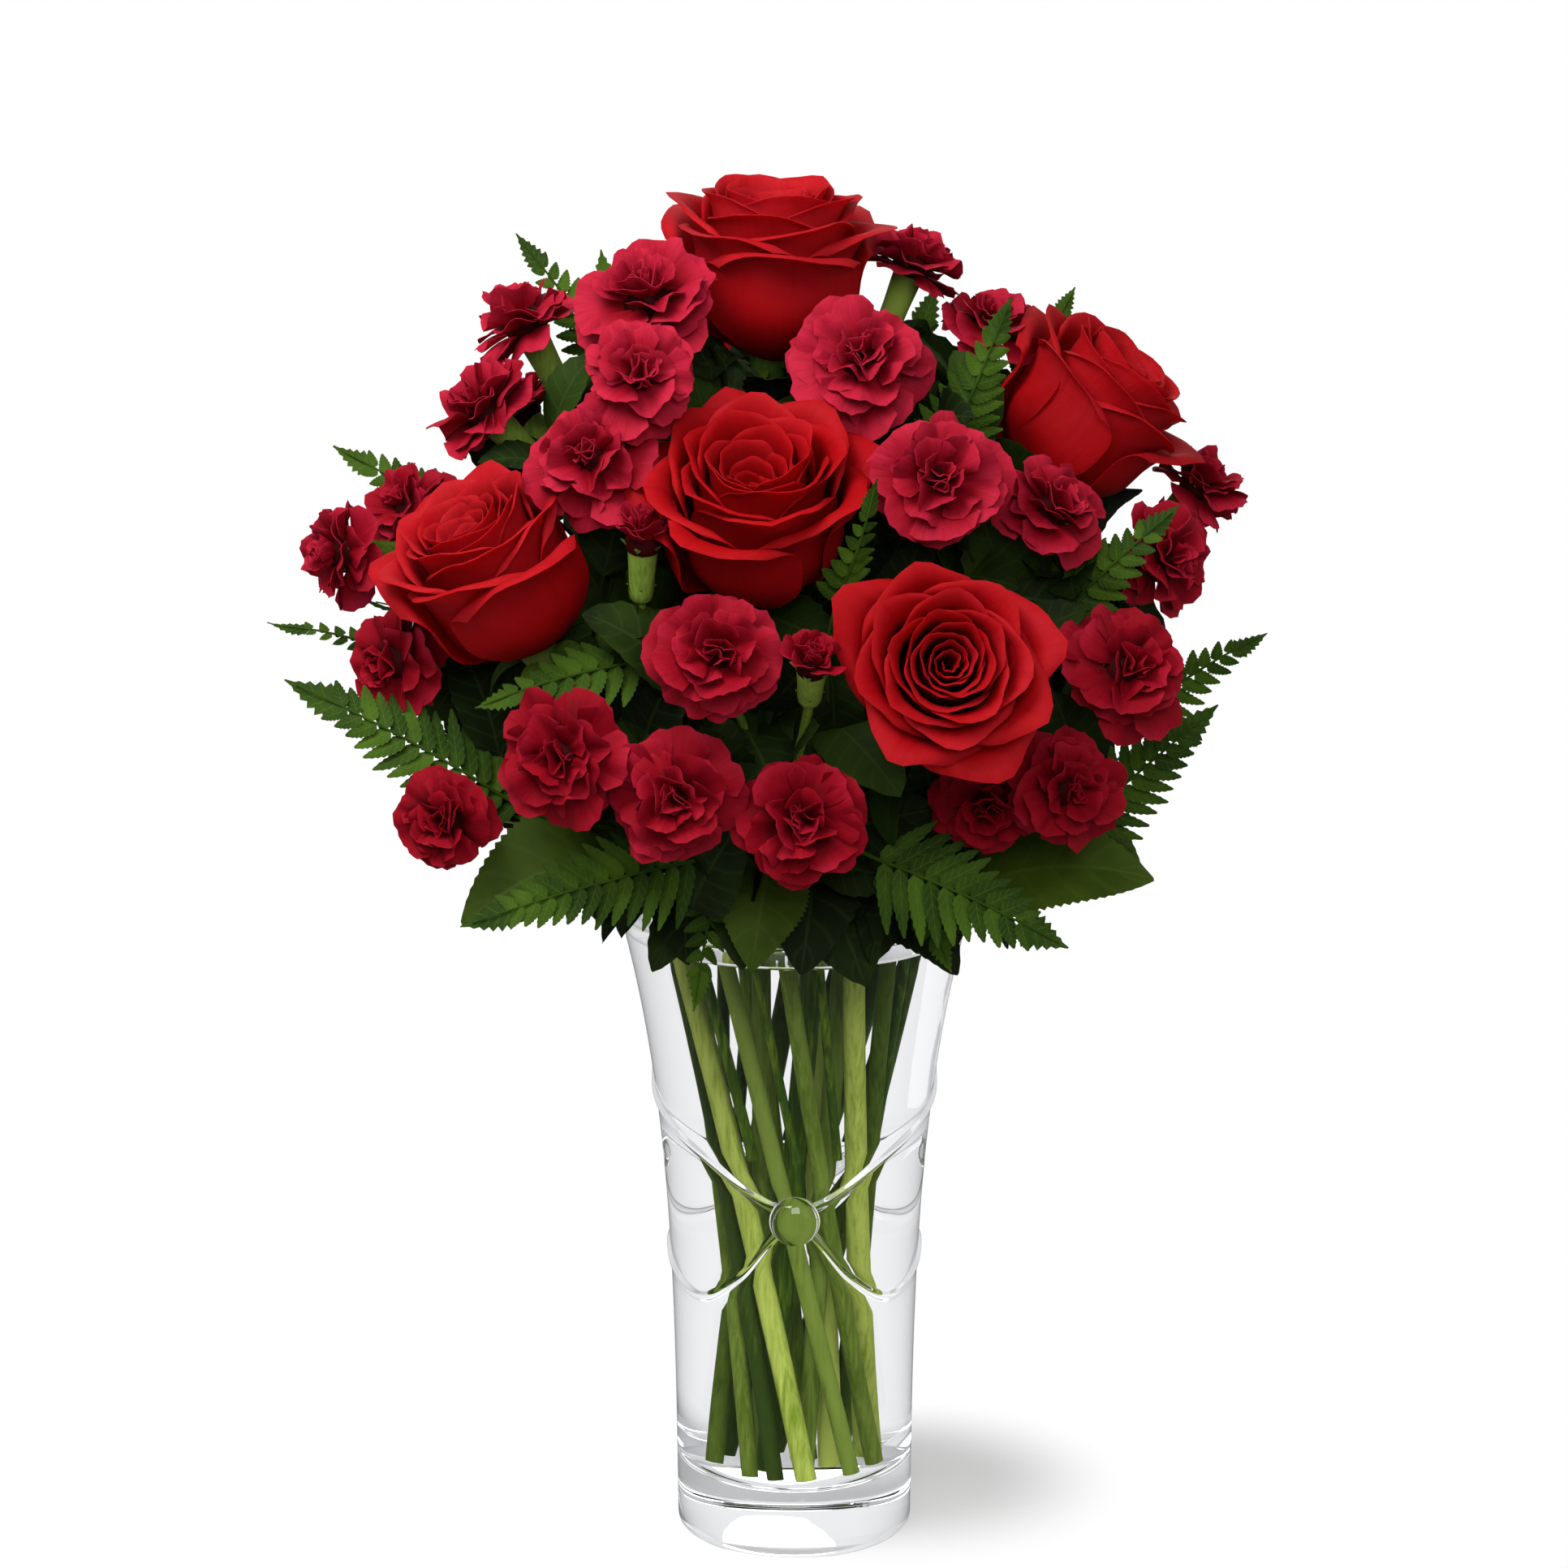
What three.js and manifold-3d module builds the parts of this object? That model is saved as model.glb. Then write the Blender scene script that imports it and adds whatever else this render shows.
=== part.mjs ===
// Spray carnations and roses, with fern and salal leaves, in a flared glass vase of water.
// Millimetres, +Z up, origin at the middle of the vase's foot, front of the bouquet towards -Y.
import * as THREE from "three";
import { mergeVertices } from "three/addons/utils/BufferGeometryUtils.js";
import { ConvexGeometry } from "three/addons/geometries/ConvexGeometry.js";
import Module from "manifold-3d";

const wasm = await Module();
wasm.setup();

// Vase: a pressed glass with a thick foot, a flared mouth, and two raised waves that meet under a bead, front and back.
const VASE = {
  height: 205,
  footRadius: 36.8,
  taper: 2.1,
  flare: 16.1,
  flarePower: 3.3,
  wall: 3.4,
  floor: 21,
  footChamfer: 3,
  sides: 28,
};
// Heights of each wave, by the angle from the front bead.
const UPPER_WAVE = [[0, 117], [45, 133], [90, 145], [110, 151], [145, 134], [180, 117]];
const LOWER_WAVE = [[0, 112], [25, 94], [48, 84], [75, 88], [100, 94], [140, 85], [160, 96], [180, 112]];
const WAVE_WIDTH = 1.9;
const WAVE_RISE = 1.2;
const BEAD = { radius: 7.8, depth: 5, height: 114.5, sink: 2.6 };
const WATER_LEVEL = 199;
const CLEARANCE = 0.35;

// Stems: a wide ring and a narrow one inside it, which turn opposite ways between the mouth and the foot.
const RINGS = {
  outer: { mouth: 28.5, foot: 19, turn: 95 },
  inner: { mouth: 11.5, foot: 8.5, turn: -80 },
};
const FOOT_Z = VASE.floor + 0.6;
const ROSE_STEM = 2.9;
const SPRAY_STEM = 2.3;
const FERN_STEM = 1.2;
const LEAF_STEM = 1.5;
const CUT_SHORT = 0.58;
const TWIG = 1.5;

// Rose head about its receptacle: whorls of petals, each inside and above the last, round a bud.
const ROSE = {
  sides: 5,
  seat: 5.2,
  middle: 27,
  width: 62,
  whorls: [
    { z: 0.8, turn: 0, radius: 23.5, height: 45, half: [33, 42, 33], tilt: 1.6, lip: 7.5, droop: 5 },
    { z: 4.8, turn: 34, radius: 18, height: 51, half: [34, 38], tilt: 1.4, lip: 2.5, droop: 4 },
    { z: 9, turn: 8, radius: 11, height: 51, half: [33, 30], tilt: 0.9, lip: -2, droop: 3 },
  ],
  bud: [[7.2, 26], [2.6, 44]],
};
// Carnation head about the mouth of its calyx, for a head of radius 1: tiers of fan-shaped petals, ruffled at random.
const CARNATION = {
  middle: 0.42,
  tiers: [
    { z: 0.12, turn: 0, core: 0.26, reach: 0.76, rise: 4 },
    { z: 0.25, turn: 36, core: 0.21, reach: 0.68, rise: 30 },
    { z: 0.4, turn: 14, core: 0.16, reach: 0.52, rise: 58, everyOther: true },
  ],
  fan: 0.92,
  budFan: 0.65,
  ruffle: 0.13,
  smallWidth: 36,
};
const CALYX = { length: 22, radius: 4.9 };
const SEPAL = { reach: [9, 17], z: [-4.5, -9.5], half: [3, 0.5] };
const PETAL_THICKNESS = 0.8;
const LEAF_THICKNESS = 0.8;
const LEAF_ROWS = 5;

// Each rose: where its head's middle is, which way it faces, its width, and the ring its stem stands in.
const ROSES = {
  rose_top: { at: [-7, -5, 405], faces: [0.03, -0.05, 1], width: 68, ring: "inner" },
  rose_right: { at: [88, -8, 360], faces: [0.66, -0.07, 0.75], width: 64, ring: "outer" },
  rose_middle: { at: [-11, -75, 345], faces: [-0.03, -0.48, 0.88], width: 70, ring: "inner" },
  rose_left: { at: [-89, -70, 325], faces: [-0.44, -0.29, 0.85], width: 66, ring: "outer" },
  rose_front: { at: [43, -102, 304], faces: [0.08, -0.92, 0.38], width: 62, ring: "outer" },
  rose_back: { at: [-14, 82, 338], faces: [-0.08, 0.62, 0.78], width: 64, ring: "inner" },
};

// Each spray of carnations: the ring its stem stands in, then its blooms, with the first bloom's number.
// A bloom: its middle, the way it faces, its width, and how far it has opened from 0 to 1.
const SPRAYS = {
  spray_upper_left: {
    ring: "outer",
    blooms: [
      { at: [-83, -5, 391], faces: [-0.45, -0.02, 0.89], width: 38, open: 1 },
      { at: [-95, -25, 367], faces: [-0.66, -0.17, 0.73], width: 38, open: 1 },
      { at: [-88, 42, 352], faces: [-0.72, 0.34, 0.6], width: 38, open: 1 },
    ],
  },
  spray_upper_middle: {
    ring: "inner",
    blooms: [
      { at: [-44, -42, 404], faces: [-0.2, -0.5, 0.84], width: 43, open: 1 },
      { at: [-45, -76, 386], faces: [0, -0.89, 0.45], width: 36, open: 1 },
      { at: [-60, -78, 362], faces: [-0.25, -0.86, 0.45], width: 40, open: 1 },
      { at: [-44, -86, 340], faces: [0.05, -0.26, 0.96], width: 22, open: 0.5 },
    ],
  },
  spray_left: {
    ring: "outer",
    blooms: [
      { at: [-119, -11, 333], faces: [-0.6, -0.47, 0.65], width: 33, open: 1 },
      { at: [-139, -30, 322], faces: [-0.86, -0.49, 0.13], width: 33, open: 1 },
      { at: [-121, -54, 294], faces: [-0.71, -0.69, 0.05], width: 35, open: 1 },
    ],
  },
  spray_lower_left: {
    ring: "outer",
    blooms: [
      { at: [-68, -105, 279], faces: [-0.25, -0.94, 0.21], width: 41, open: 1 },
      { at: [-35, -112, 268], faces: [-0.1, -0.98, 0.17], width: 39, open: 1 },
      { at: [-104, -85, 254], faces: [-0.36, -0.91, 0.2], width: 32, open: 1 },
    ],
  },
  spray_lower_middle: {
    ring: "outer",
    blooms: [
      { at: [-22, -115, 312], faces: [0, -0.93, 0.36], width: 40, open: 1 },
      { at: [5, -112, 309], faces: [0.05, -0.64, 0.76], width: 19, open: 0.15 },
      { at: [2, -115, 262], faces: [0, -0.99, 0.17], width: 42, open: 1 },
    ],
  },
  spray_lower_right: {
    ring: "outer",
    blooms: [
      { at: [57, -78, 256], faces: [0, -0.99, 0.06], width: 33, open: 1 },
      { at: [81, -84, 263], faces: [0.4, -0.9, 0.15], width: 37, open: 1 },
      { at: [99, -75, 298], faces: [0.31, -0.82, 0.49], width: 41, open: 1 },
    ],
  },
  spray_right: {
    ring: "outer",
    blooms: [
      { at: [77, -60, 345], faces: [0.45, -0.47, 0.76], width: 37, open: 1 },
      { at: [125, 4, 338], faces: [0.62, -0.09, 0.77], width: 32, open: 1 },
      { at: [113, -30, 320], faces: [0.76, -0.63, 0.17], width: 38, open: 1 },
    ],
  },
  spray_upper_right: {
    ring: "inner",
    blooms: [
      { at: [20, -55, 387], faces: [0.05, -0.81, 0.58], width: 43, open: 1 },
      { at: [42, -85, 357], faces: [0.1, -0.93, 0.36], width: 42, open: 1 },
      { at: [37, 10, 406], faces: [0.36, 0, 0.93], width: 34, open: 1 },
      { at: [60, 8, 387], faces: [0.3, -0.15, 0.95], width: 33, open: 1 },
    ],
  },
  spray_back: {
    ring: "outer",
    blooms: [
      { at: [50, 78, 330], faces: [0.45, 0.62, 0.64], width: 40, open: 1 },
      { at: [-58, 92, 286], faces: [-0.42, 0.86, 0.29], width: 39, open: 1 },
      { at: [26, 104, 276], faces: [0.22, 0.93, 0.3], width: 40, open: 1 },
    ],
  },
};

// Each fern: how far up towards its blades its stem forks, then its pinnae, from where the leaflets start to the
// tip, with the half width of the widest leaflets and the way the upper face looks.
const FERNS = {
  fern_lower_left: {
    fork: 0.6,
    blades: [
      { base: [-82, -62, 252], tip: [-150, -60, 290], half: 22, faces: [-0.1, -0.8, 0.6] },
      { base: [-30, -82, 241], tip: [-97, -92, 224], half: 20, faces: [-0.1, -0.85, 0.5] },
      { base: [-20, -62, 240], tip: [-30, -66, 191], half: 13, faces: [-0.3, -0.95, 0.1] },
      { base: [-46, -84, 302], tip: [-92, -90, 290], half: 14, faces: [-0.1, -0.75, 0.65] },
    ],
  },
  fern_left: {
    fork: 0.45,
    blades: [
      { base: [-96, 16, 316], tip: [-140, 16, 344], half: 15, faces: [-0.2, -0.7, 0.7] },
      { base: [-112, -4, 280], tip: [-160, 2, 292], half: 9, faces: [0, -0.5, 0.9] },
      { base: [-56, 22, 370], tip: [-84, 24, 408], half: 12, faces: [0.2, -0.95, 0.2] },
      { base: [-52, 40, 346], tip: [-60, 62, 396], half: 17, faces: [-0.3, 0.9, 0.3] },
    ],
  },
  fern_lower_right: {
    fork: 0.45,
    blades: [
      { base: [24, -80, 241], tip: [79, -96, 219], half: 23, faces: [0.1, -0.85, 0.5] },
      { base: [30, -62, 240], tip: [46, -76, 206], half: 13, faces: [0.25, -0.95, 0.1] },
      { base: [12, -90, 322], tip: [23, -104, 360], half: 9, faces: [0.3, -0.95, 0] },
    ],
  },
  fern_right: {
    fork: 0.45,
    blades: [
      { base: [78, -48, 236], tip: [126, -38, 276], half: 20, faces: [0.2, -0.85, 0.5] },
      { base: [105, -14, 268], tip: [143, -4, 290], half: 13, faces: [0.1, -0.6, 0.8] },
      { base: [76, -50, 305], tip: [112, -58, 342], half: 15, faces: [0.1, -0.85, 0.5] },
      { base: [74, 32, 246], tip: [128, 54, 260], half: 20, faces: [0.3, 0.3, 0.9] },
    ],
  },
  fern_top_right: {
    fork: 0.45,
    blades: [
      { base: [44, -40, 353], tip: [63, -44, 401], half: 15, faces: [0.1, -0.97, 0.25] },
      { base: [70, 30, 362], tip: [85, 26, 391], half: 10, faces: [0.1, -0.9, 0.4] },
      { base: [26, 44, 340], tip: [44, 66, 384], half: 16, faces: [0.3, 0.85, 0.4] },
    ],
  },
  fern_back: {
    fork: 0.45,
    blades: [
      { base: [-74, 40, 262], tip: [-134, 58, 286], half: 20, faces: [-0.3, 0.5, 0.8] },
      { base: [-34, 74, 240], tip: [-62, 112, 222], half: 20, faces: [-0.2, 0.85, 0.5] },
      { base: [34, 76, 238], tip: [66, 110, 218], half: 20, faces: [0.2, 0.85, 0.5] },
    ],
  },
};

// Each salal twig and its leaves, in the same way.
const TWIGS = {
  salal_left: {
    fork: 0.45,
    blades: [
      { base: [-44, -54, 238], tip: [-99, -76, 219], half: 20, faces: [-0.25, -0.75, 0.6] },
      { base: [-54, -38, 246], tip: [-96, -50, 252], half: 14, faces: [-0.3, -0.3, 0.9] },
      { base: [-46, -18, 232], tip: [-108, -2, 224], half: 18, faces: [-0.3, 0.1, 0.95] },
      { base: [-7, -54, 236], tip: [-13, -78, 206], half: 14, faces: [0, -0.9, 0.4] },
    ],
  },
  salal_right: {
    fork: 0.45,
    blades: [
      { base: [50, -50, 221], tip: [107, -60, 230], half: 19, faces: [0.1, -0.6, 0.8] },
      { base: [62, -30, 240], tip: [106, -30, 222], half: 15, faces: [0.3, -0.3, 0.9] },
      { base: [54, 14, 234], tip: [104, 34, 224], half: 19, faces: [0.3, 0.1, 0.95] },
    ],
  },
};

const GLASS = new THREE.MeshStandardMaterial({ color: 0xeef2f4, roughness: 0.03, metalness: 0, transparent: true, opacity: 0.35 });
const LIQUID = new THREE.MeshStandardMaterial({ color: 0xf4f8f8, roughness: 0.02, metalness: 0, transparent: true, opacity: 0.3 });
const ROSE_RED = new THREE.MeshStandardMaterial({ color: 0xb00d12, roughness: 0.55, metalness: 0 });
const CARNATION_RED = new THREE.MeshStandardMaterial({ color: 0x8e0722, roughness: 0.6, metalness: 0 });
const STEM_GREEN = new THREE.MeshStandardMaterial({ color: 0x5b7d2b, roughness: 0.5, metalness: 0 });
const CALYX_GREEN = new THREE.MeshStandardMaterial({ color: 0x5a7434, roughness: 0.55, metalness: 0 });
const FERN_GREEN = new THREE.MeshStandardMaterial({ color: 0x24501f, roughness: 0.45, metalness: 0 });
const SALAL_GREEN = new THREE.MeshStandardMaterial({ color: 0x25401a, roughness: 0.4, metalness: 0 });

const rad = THREE.MathUtils.degToRad;
const lerp = THREE.MathUtils.lerp;
const clamp = THREE.MathUtils.clamp;
const vec = (p) => new THREE.Vector3(...p);
const unit = (p) => vec(p).normalize();
const along = (p, q, share) => p.clone().lerp(q, share);
const middleOf = (points) => points.reduce((sum, p) => sum.add(p), new THREE.Vector3()).divideScalar(points.length);

// A closed solid from points and triangles.
function solidOf(points, faces) {
  const made = new wasm.Manifold(
    new wasm.Mesh({
      numProp: 3,
      vertProperties: new Float32Array(points.flatMap((p) => p.toArray())),
      triVerts: new Uint32Array(faces.flat()),
    }),
  );
  if (made.volume() > 0) return made;
  return solidOf(points, faces.map(([a, b, c]) => [a, c, b]));
}

// A closed solid from a three.js geometry.
function solidOfGeometry(geometry) {
  geometry.deleteAttribute("normal");
  geometry.deleteAttribute("uv");
  const merged = mergeVertices(geometry, 1e-4);
  const position = merged.getAttribute("position");
  const points = [];
  for (let i = 0; i < position.count; i++) points.push(new THREE.Vector3().fromBufferAttribute(position, i));
  const faces = [];
  for (let i = 0; i < merged.index.count; i += 3) {
    const [a, b, c] = [0, 1, 2].map((k) => merged.index.getX(i + k));
    if (a !== b && b !== c && c !== a) faces.push([a, b, c]);
  }
  return solidOf(points, faces);
}

// Half the thickness of a sheet at each point, along its normal there.
function offsets(points, faces, thickness) {
  const normals = points.map(() => new THREE.Vector3());
  for (const [a, b, c] of faces) {
    const n = points[b].clone().sub(points[a]).cross(points[c].clone().sub(points[a]));
    for (const k of [a, b, c]) normals[k].add(n);
  }
  return normals.map((n) => n.setLength(thickness / 2));
}

// The edges of a sheet that have a face on one side only.
function rimOf(faces) {
  const rim = new Map();
  for (const [a, b, c] of faces) {
    for (const [p, q] of [[a, b], [b, c], [c, a]]) if (!rim.delete(q + "," + p)) rim.set(p + "," + q, [p, q]);
  }
  return [...rim.values()];
}

// A thin blade: a triangulated sheet thickened to both sides, spread at its rim and closed round it.
function blade(sheet, faces, thickness, spread) {
  const half = offsets(sheet, faces, thickness);
  const outward = sheet.map(() => new THREE.Vector3());
  for (const [p, q] of rimOf(faces)) {
    const out = sheet[q].clone().sub(sheet[p]).normalize().cross(half[p]).normalize();
    for (const k of [p, q]) outward[k].add(out);
  }
  const points = sheet.map((p, i) => p.clone().addScaledVector(outward[i].normalize(), spread));
  const count = points.length;
  const both = [...points.map((p, i) => p.clone().add(half[i])), ...points.map((p, i) => p.clone().sub(half[i]))];
  const closed = faces.flatMap(([a, b, c]) => [[a, b, c], [count + a, count + c, count + b]]);
  for (const [a, b] of rimOf(faces)) closed.push([b, a, count + a], [b, count + a, count + b]);
  return solidOf(both, closed);
}

// Rings of corners square to a path, one ring for each point, with its radius and its own turn in degrees.
function ringsAlong(path, radii, sides, turns = []) {
  let side = null;
  return path.map((p, i) => {
    const tangent = path[Math.min(i + 1, path.length - 1)].clone().sub(path[Math.max(i - 1, 0)]).normalize();
    if (!side) side = Math.abs(tangent.x) > 0.9 ? new THREE.Vector3(0, 1, 0) : new THREE.Vector3(1, 0, 0);
    side.sub(tangent.clone().multiplyScalar(side.dot(tangent))).normalize();
    const other = tangent.clone().cross(side);
    return Array.from({ length: sides }, (_, k) => {
      const angle = (2 * Math.PI * k) / sides + rad(turns[i] ?? 0);
      return p.clone().addScaledVector(side, radii[i] * Math.cos(angle)).addScaledVector(other, radii[i] * Math.sin(angle));
    });
  });
}

// A closed stalk through rings of corners. Where a span has petals, each of its sides grows out into a blade:
// petals[span](k) gives the rows of three points that the blade on side k runs through.
function stalk(rings, petals = {}, thickness = PETAL_THICKNESS) {
  const sides = rings[0].length;
  const points = rings.flat();
  const faces = [];
  for (let i = 0; i + 1 < rings.length; i++) {
    for (let k = 0; k < sides; k++) {
      const [a, b] = [i * sides + k, i * sides + ((k + 1) % sides)];
      const [c, d] = [a + sides, b + sides];
      const rows = petals[i]?.(k);
      if (!rows) {
        faces.push([a, b, d], [a, d, c]);
        continue;
      }
      const sheet = [along(points[a], points[c], 0.5), along(points[b], points[d], 0.5), ...rows.flat()];
      const triangles = [[0, 2, 3], [0, 3, 1], [1, 3, 4]];
      for (let p = 2; p + 3 < sheet.length; p += 3) {
        triangles.push([p, p + 3, p + 4], [p, p + 4, p + 1], [p + 1, p + 4, p + 5], [p + 1, p + 5, p + 2]);
      }
      const half = offsets(sheet, triangles, thickness);
      const upper = sheet.map((p, j) => (j < 2 ? [c, d][j] : points.push(p.clone().add(half[j])) - 1));
      const lower = sheet.map((p, j) => (j < 2 ? [a, b][j] : points.push(p.clone().sub(half[j])) - 1));
      for (const t of triangles) faces.push(t.map((j) => upper[j]), t.map((j) => lower[j]).reverse());
      for (const [p, q] of rimOf(triangles)) {
        if (p > 1 || q > 1) faces.push([upper[q], upper[p], lower[p]], [upper[q], lower[p], lower[q]]);
      }
    }
  }
  const last = (rings.length - 1) * sides;
  for (let k = 1; k + 1 < sides; k++) faces.push([0, k + 1, k], [last, last + k, last + k + 1]);
  return solidOf(points, faces);
}

// A round bar through the points of a path, with a radius at each.
const sweep = (path, radii, sides) => stalk(ringsAlong(path, radii, sides));

const joined = (solids) => solids.reduce((sum, s) => sum.add(s));

// The solid without the cutters that reach it, and without the scraps this leaves.
function trimmed(solid, cutters) {
  const touches = (a, b) => [0, 1, 2].every((k) => a.min[k] < b.max[k] && b.min[k] < a.max[k]);
  let left = solid;
  for (const cutter of cutters) {
    if (touches(left.boundingBox(), cutter.boundingBox())) left = left.subtract(cutter);
  }
  return left.decompose().sort((a, b) => b.volume() - a.volume())[0];
}

// The convex outline of a solid, grown about its middle by the clearance.
function outlineOf(solid, grow) {
  const { numProp, vertProperties } = solid.getMesh();
  const points = [];
  for (let i = 0; i < vertProperties.length; i += numProp) points.push(new THREE.Vector3(...vertProperties.subarray(i, i + 3)));
  const middle = new THREE.Box3().setFromPoints(points).getCenter(new THREE.Vector3());
  points.forEach((p) => p.add(p.clone().sub(middle).setLength(grow)));
  return solidOfGeometry(new ConvexGeometry(points));
}

// Vase
const outerRadius = (z) => {
  const t = z / VASE.height;
  return VASE.footRadius + VASE.taper * t + VASE.flare * t ** VASE.flarePower;
};

function latheSolid(profile, sides) {
  return solidOfGeometry(new THREE.LatheGeometry(profile.map(([r, z]) => new THREE.Vector2(r, z)), sides).rotateX(Math.PI / 2));
}

// A height read off a list of [angle, height], with a smooth turn at each entry.
function heightOf(wave, angle) {
  const curve = new THREE.CatmullRomCurve3(wave.map(([a, z]) => new THREE.Vector3(a, z, 0)));
  let [low, high] = [0, 1];
  for (let i = 0; i < 24; i++) {
    const half = (low + high) / 2;
    if (curve.getPoint(half).x < angle) low = half;
    else high = half;
  }
  return curve.getPoint(low).y;
}

// The wall as rows of corners, bottom to top outside and then down the inside. The rows by the waves follow them.
function buildVase() {
  const wave = (heights, lift, rise) => (angle) => {
    const z = heightOf(heights, angle) + lift;
    return [outerRadius(z) + rise, z];
  };
  const level = (r, z) => () => [r, z];
  const rows = [
    level(VASE.footRadius - VASE.footChamfer, 0),
    level(VASE.footRadius, VASE.footChamfer),
    ...[-1, 0, 1].map((k) => wave(LOWER_WAVE, k * WAVE_WIDTH, k ? 0 : WAVE_RISE)),
    ...[-1, 0, 1].map((k) => wave(UPPER_WAVE, k * WAVE_WIDTH, k ? 0 : WAVE_RISE)),
    level(outerRadius(180), 180),
    level(outerRadius(VASE.height) - 0.3, VASE.height - 1),
    level(outerRadius(VASE.height) - VASE.wall / 2, VASE.height),
    level(outerRadius(VASE.height) - VASE.wall, VASE.height - 2),
    ...[180, 120, VASE.floor + 3].map((z) => level(outerRadius(z) - VASE.wall, z)),
    level(outerRadius(VASE.floor) - VASE.wall - 2.5, VASE.floor),
  ];
  const rings = rows.map((row) =>
    Array.from({ length: VASE.sides }, (_, k) => {
      const turn = (360 * k) / VASE.sides;
      const [r, z] = row(Math.min(turn, 360 - turn));
      return new THREE.Vector3(r * Math.sin(rad(turn)), -r * Math.cos(rad(turn)), z);
    }),
  );
  let glass = stalk(rings);
  for (const side of [1, -1]) {
    const bead = new THREE.SphereGeometry(1, 8, 6).scale(BEAD.radius, BEAD.depth, BEAD.radius);
    bead.translate(0, side * (outerRadius(BEAD.height) - BEAD.sink + BEAD.depth), BEAD.height);
    glass = glass.add(solidOfGeometry(bead));
  }
  return glass;
}

// Stems
const azimuthOf = (p) => Math.atan2(p.x, -p.y);

// Gives each stem of a ring its own angle, in the order of what it carries, with room for its thickness.
function placeInRing(stems, ring) {
  const sorted = [...stems].sort((a, b) => azimuthOf(a.target) - azimuthOf(b.target));
  const total = sorted.reduce((sum, s) => sum + 2 * s.radius + 1, 0);
  let passed = 0;
  const middles = sorted.map((s) => {
    passed += 2 * s.radius + 1;
    return (2 * Math.PI * (passed - s.radius - 0.5)) / total;
  });
  const shift = sorted.reduce((sum, s, i) => sum + azimuthOf(s.target) - middles[i], 0) / sorted.length;
  sorted.forEach((stem, i) => {
    const angle = middles[i] + shift;
    const turned = angle + rad(ring.turn);
    stem.mouth = new THREE.Vector3(ring.mouth * Math.sin(angle), -ring.mouth * Math.cos(angle), VASE.height);
    stem.foot = new THREE.Vector3(ring.foot * Math.sin(turned), -ring.foot * Math.cos(turned), FOOT_Z);
  });
}

// A smooth way from one point to another, leaving along one direction and arriving along the other.
function bend(from, leaving, to, arriving, steps) {
  const reach = from.distanceTo(to) * 0.36;
  const curve = new THREE.CubicBezierCurve3(
    from,
    from.clone().addScaledVector(leaving, reach),
    to.clone().addScaledVector(arriving, -reach),
    to,
  );
  return curve.getPoints(steps);
}

const risingFrom = (stem) => stem.mouth.clone().sub(stem.foot).normalize();

// From the foot straight to the mouth, then bending to a point above it.
const stemPath = (stem, to, arriving, steps) => [stem.foot, ...bend(stem.mouth, risingFrom(stem), to, arriving, steps)];

// A stem as a solid, and the same solid with clearance for its neighbours.
function stemSolids(stem, to, arriving, steps) {
  const path = stemPath(stem, to, arriving, steps);
  const grown = (extra) => sweep(path, path.map(() => stem.radius + extra), stem.sides);
  return { solid: grown(0), clear: grown(CLEARANCE) };
}

// Roses
// The rows of one petal of a whorl: a cupped blade whose left edge tucks behind its neighbour and whose lip rolls out.
function rosePetal(whorl, k) {
  const count = whorl.half.length;
  return whorl.half.map((half, row) => {
    const v = (row + 1) / count;
    const cup = Math.sin((Math.PI / 2) * Math.min(1, v / 0.5)) ** 0.8;
    const roll = Math.max(0, (v - 0.55) / 0.45) ** 2;
    return [-1, 0, 1].map((across) => {
      const r = lerp(ROSE.seat, whorl.radius, cup) + whorl.lip * roll + whorl.tilt * across;
      const z = lerp(whorl.z, whorl.height, v ** 1.1) - whorl.droop * roll * Math.abs(across);
      const angle = rad(whorl.turn + (360 * (k + 0.5)) / ROSE.sides + across * half);
      return new THREE.Vector3(r * Math.cos(angle), r * Math.sin(angle), z);
    });
  });
}

// A head from the rings of its core, each [radius, height, turn], and the petals of some of its spans.
function headOf(rings, sides, petals) {
  const path = rings.map(([, z]) => new THREE.Vector3(0, 0, z));
  return stalk(ringsAlong(path, rings.map(([r]) => r), sides, rings.map(([, , turn]) => turn)), petals);
}

function roseHead() {
  const rings = [];
  const petals = {};
  for (const whorl of ROSE.whorls) {
    petals[rings.length] = (k) => rosePetal(whorl, k);
    for (const side of [-1, 1]) rings.push([ROSE.seat, whorl.z + (side * PETAL_THICKNESS) / 2, whorl.turn]);
  }
  for (const [r, z] of ROSE.bud) rings.push([r, z, ROSE.whorls.at(-1).turn]);
  return headOf(rings, ROSE.sides, petals);
}

function placement(at, faces, drop, scale) {
  const axis = unit(faces);
  const turn = new THREE.Quaternion().setFromUnitVectors(new THREE.Vector3(0, 0, 1), axis);
  const seat = vec(at).addScaledVector(axis, -drop * scale);
  return { axis, seat, turn, matrix: new THREE.Matrix4().compose(seat, turn, new THREE.Vector3(scale, scale, scale)) };
}

// The rows of one sepal, turned back from under the head, for the stalk that ends there.
function sepal(ring, scale, axis) {
  const middle = middleOf(ring);
  return (k) => {
    const [a, b] = [ring[k], ring[(k + 1) % ring.length]];
    const out = along(a, b, 0.5).sub(middle).normalize();
    const across = b.clone().sub(a).normalize();
    return SEPAL.reach.map((reach, row) =>
      [-1, 0, 1].map((side) =>
        middle
          .clone()
          .addScaledVector(out, reach * scale)
          .addScaledVector(axis, SEPAL.z[row] * scale)
          .addScaledVector(across, side * SEPAL.half[row] * scale),
      ),
    );
  };
}

// Carnations
// A draw between -1 and 1 that only depends on its seed.
const draw = (seed) => 2 * ((((Math.sin(seed * 12.9898) * 43758.5453) % 1) + 1) % 1) - 1;

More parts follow.
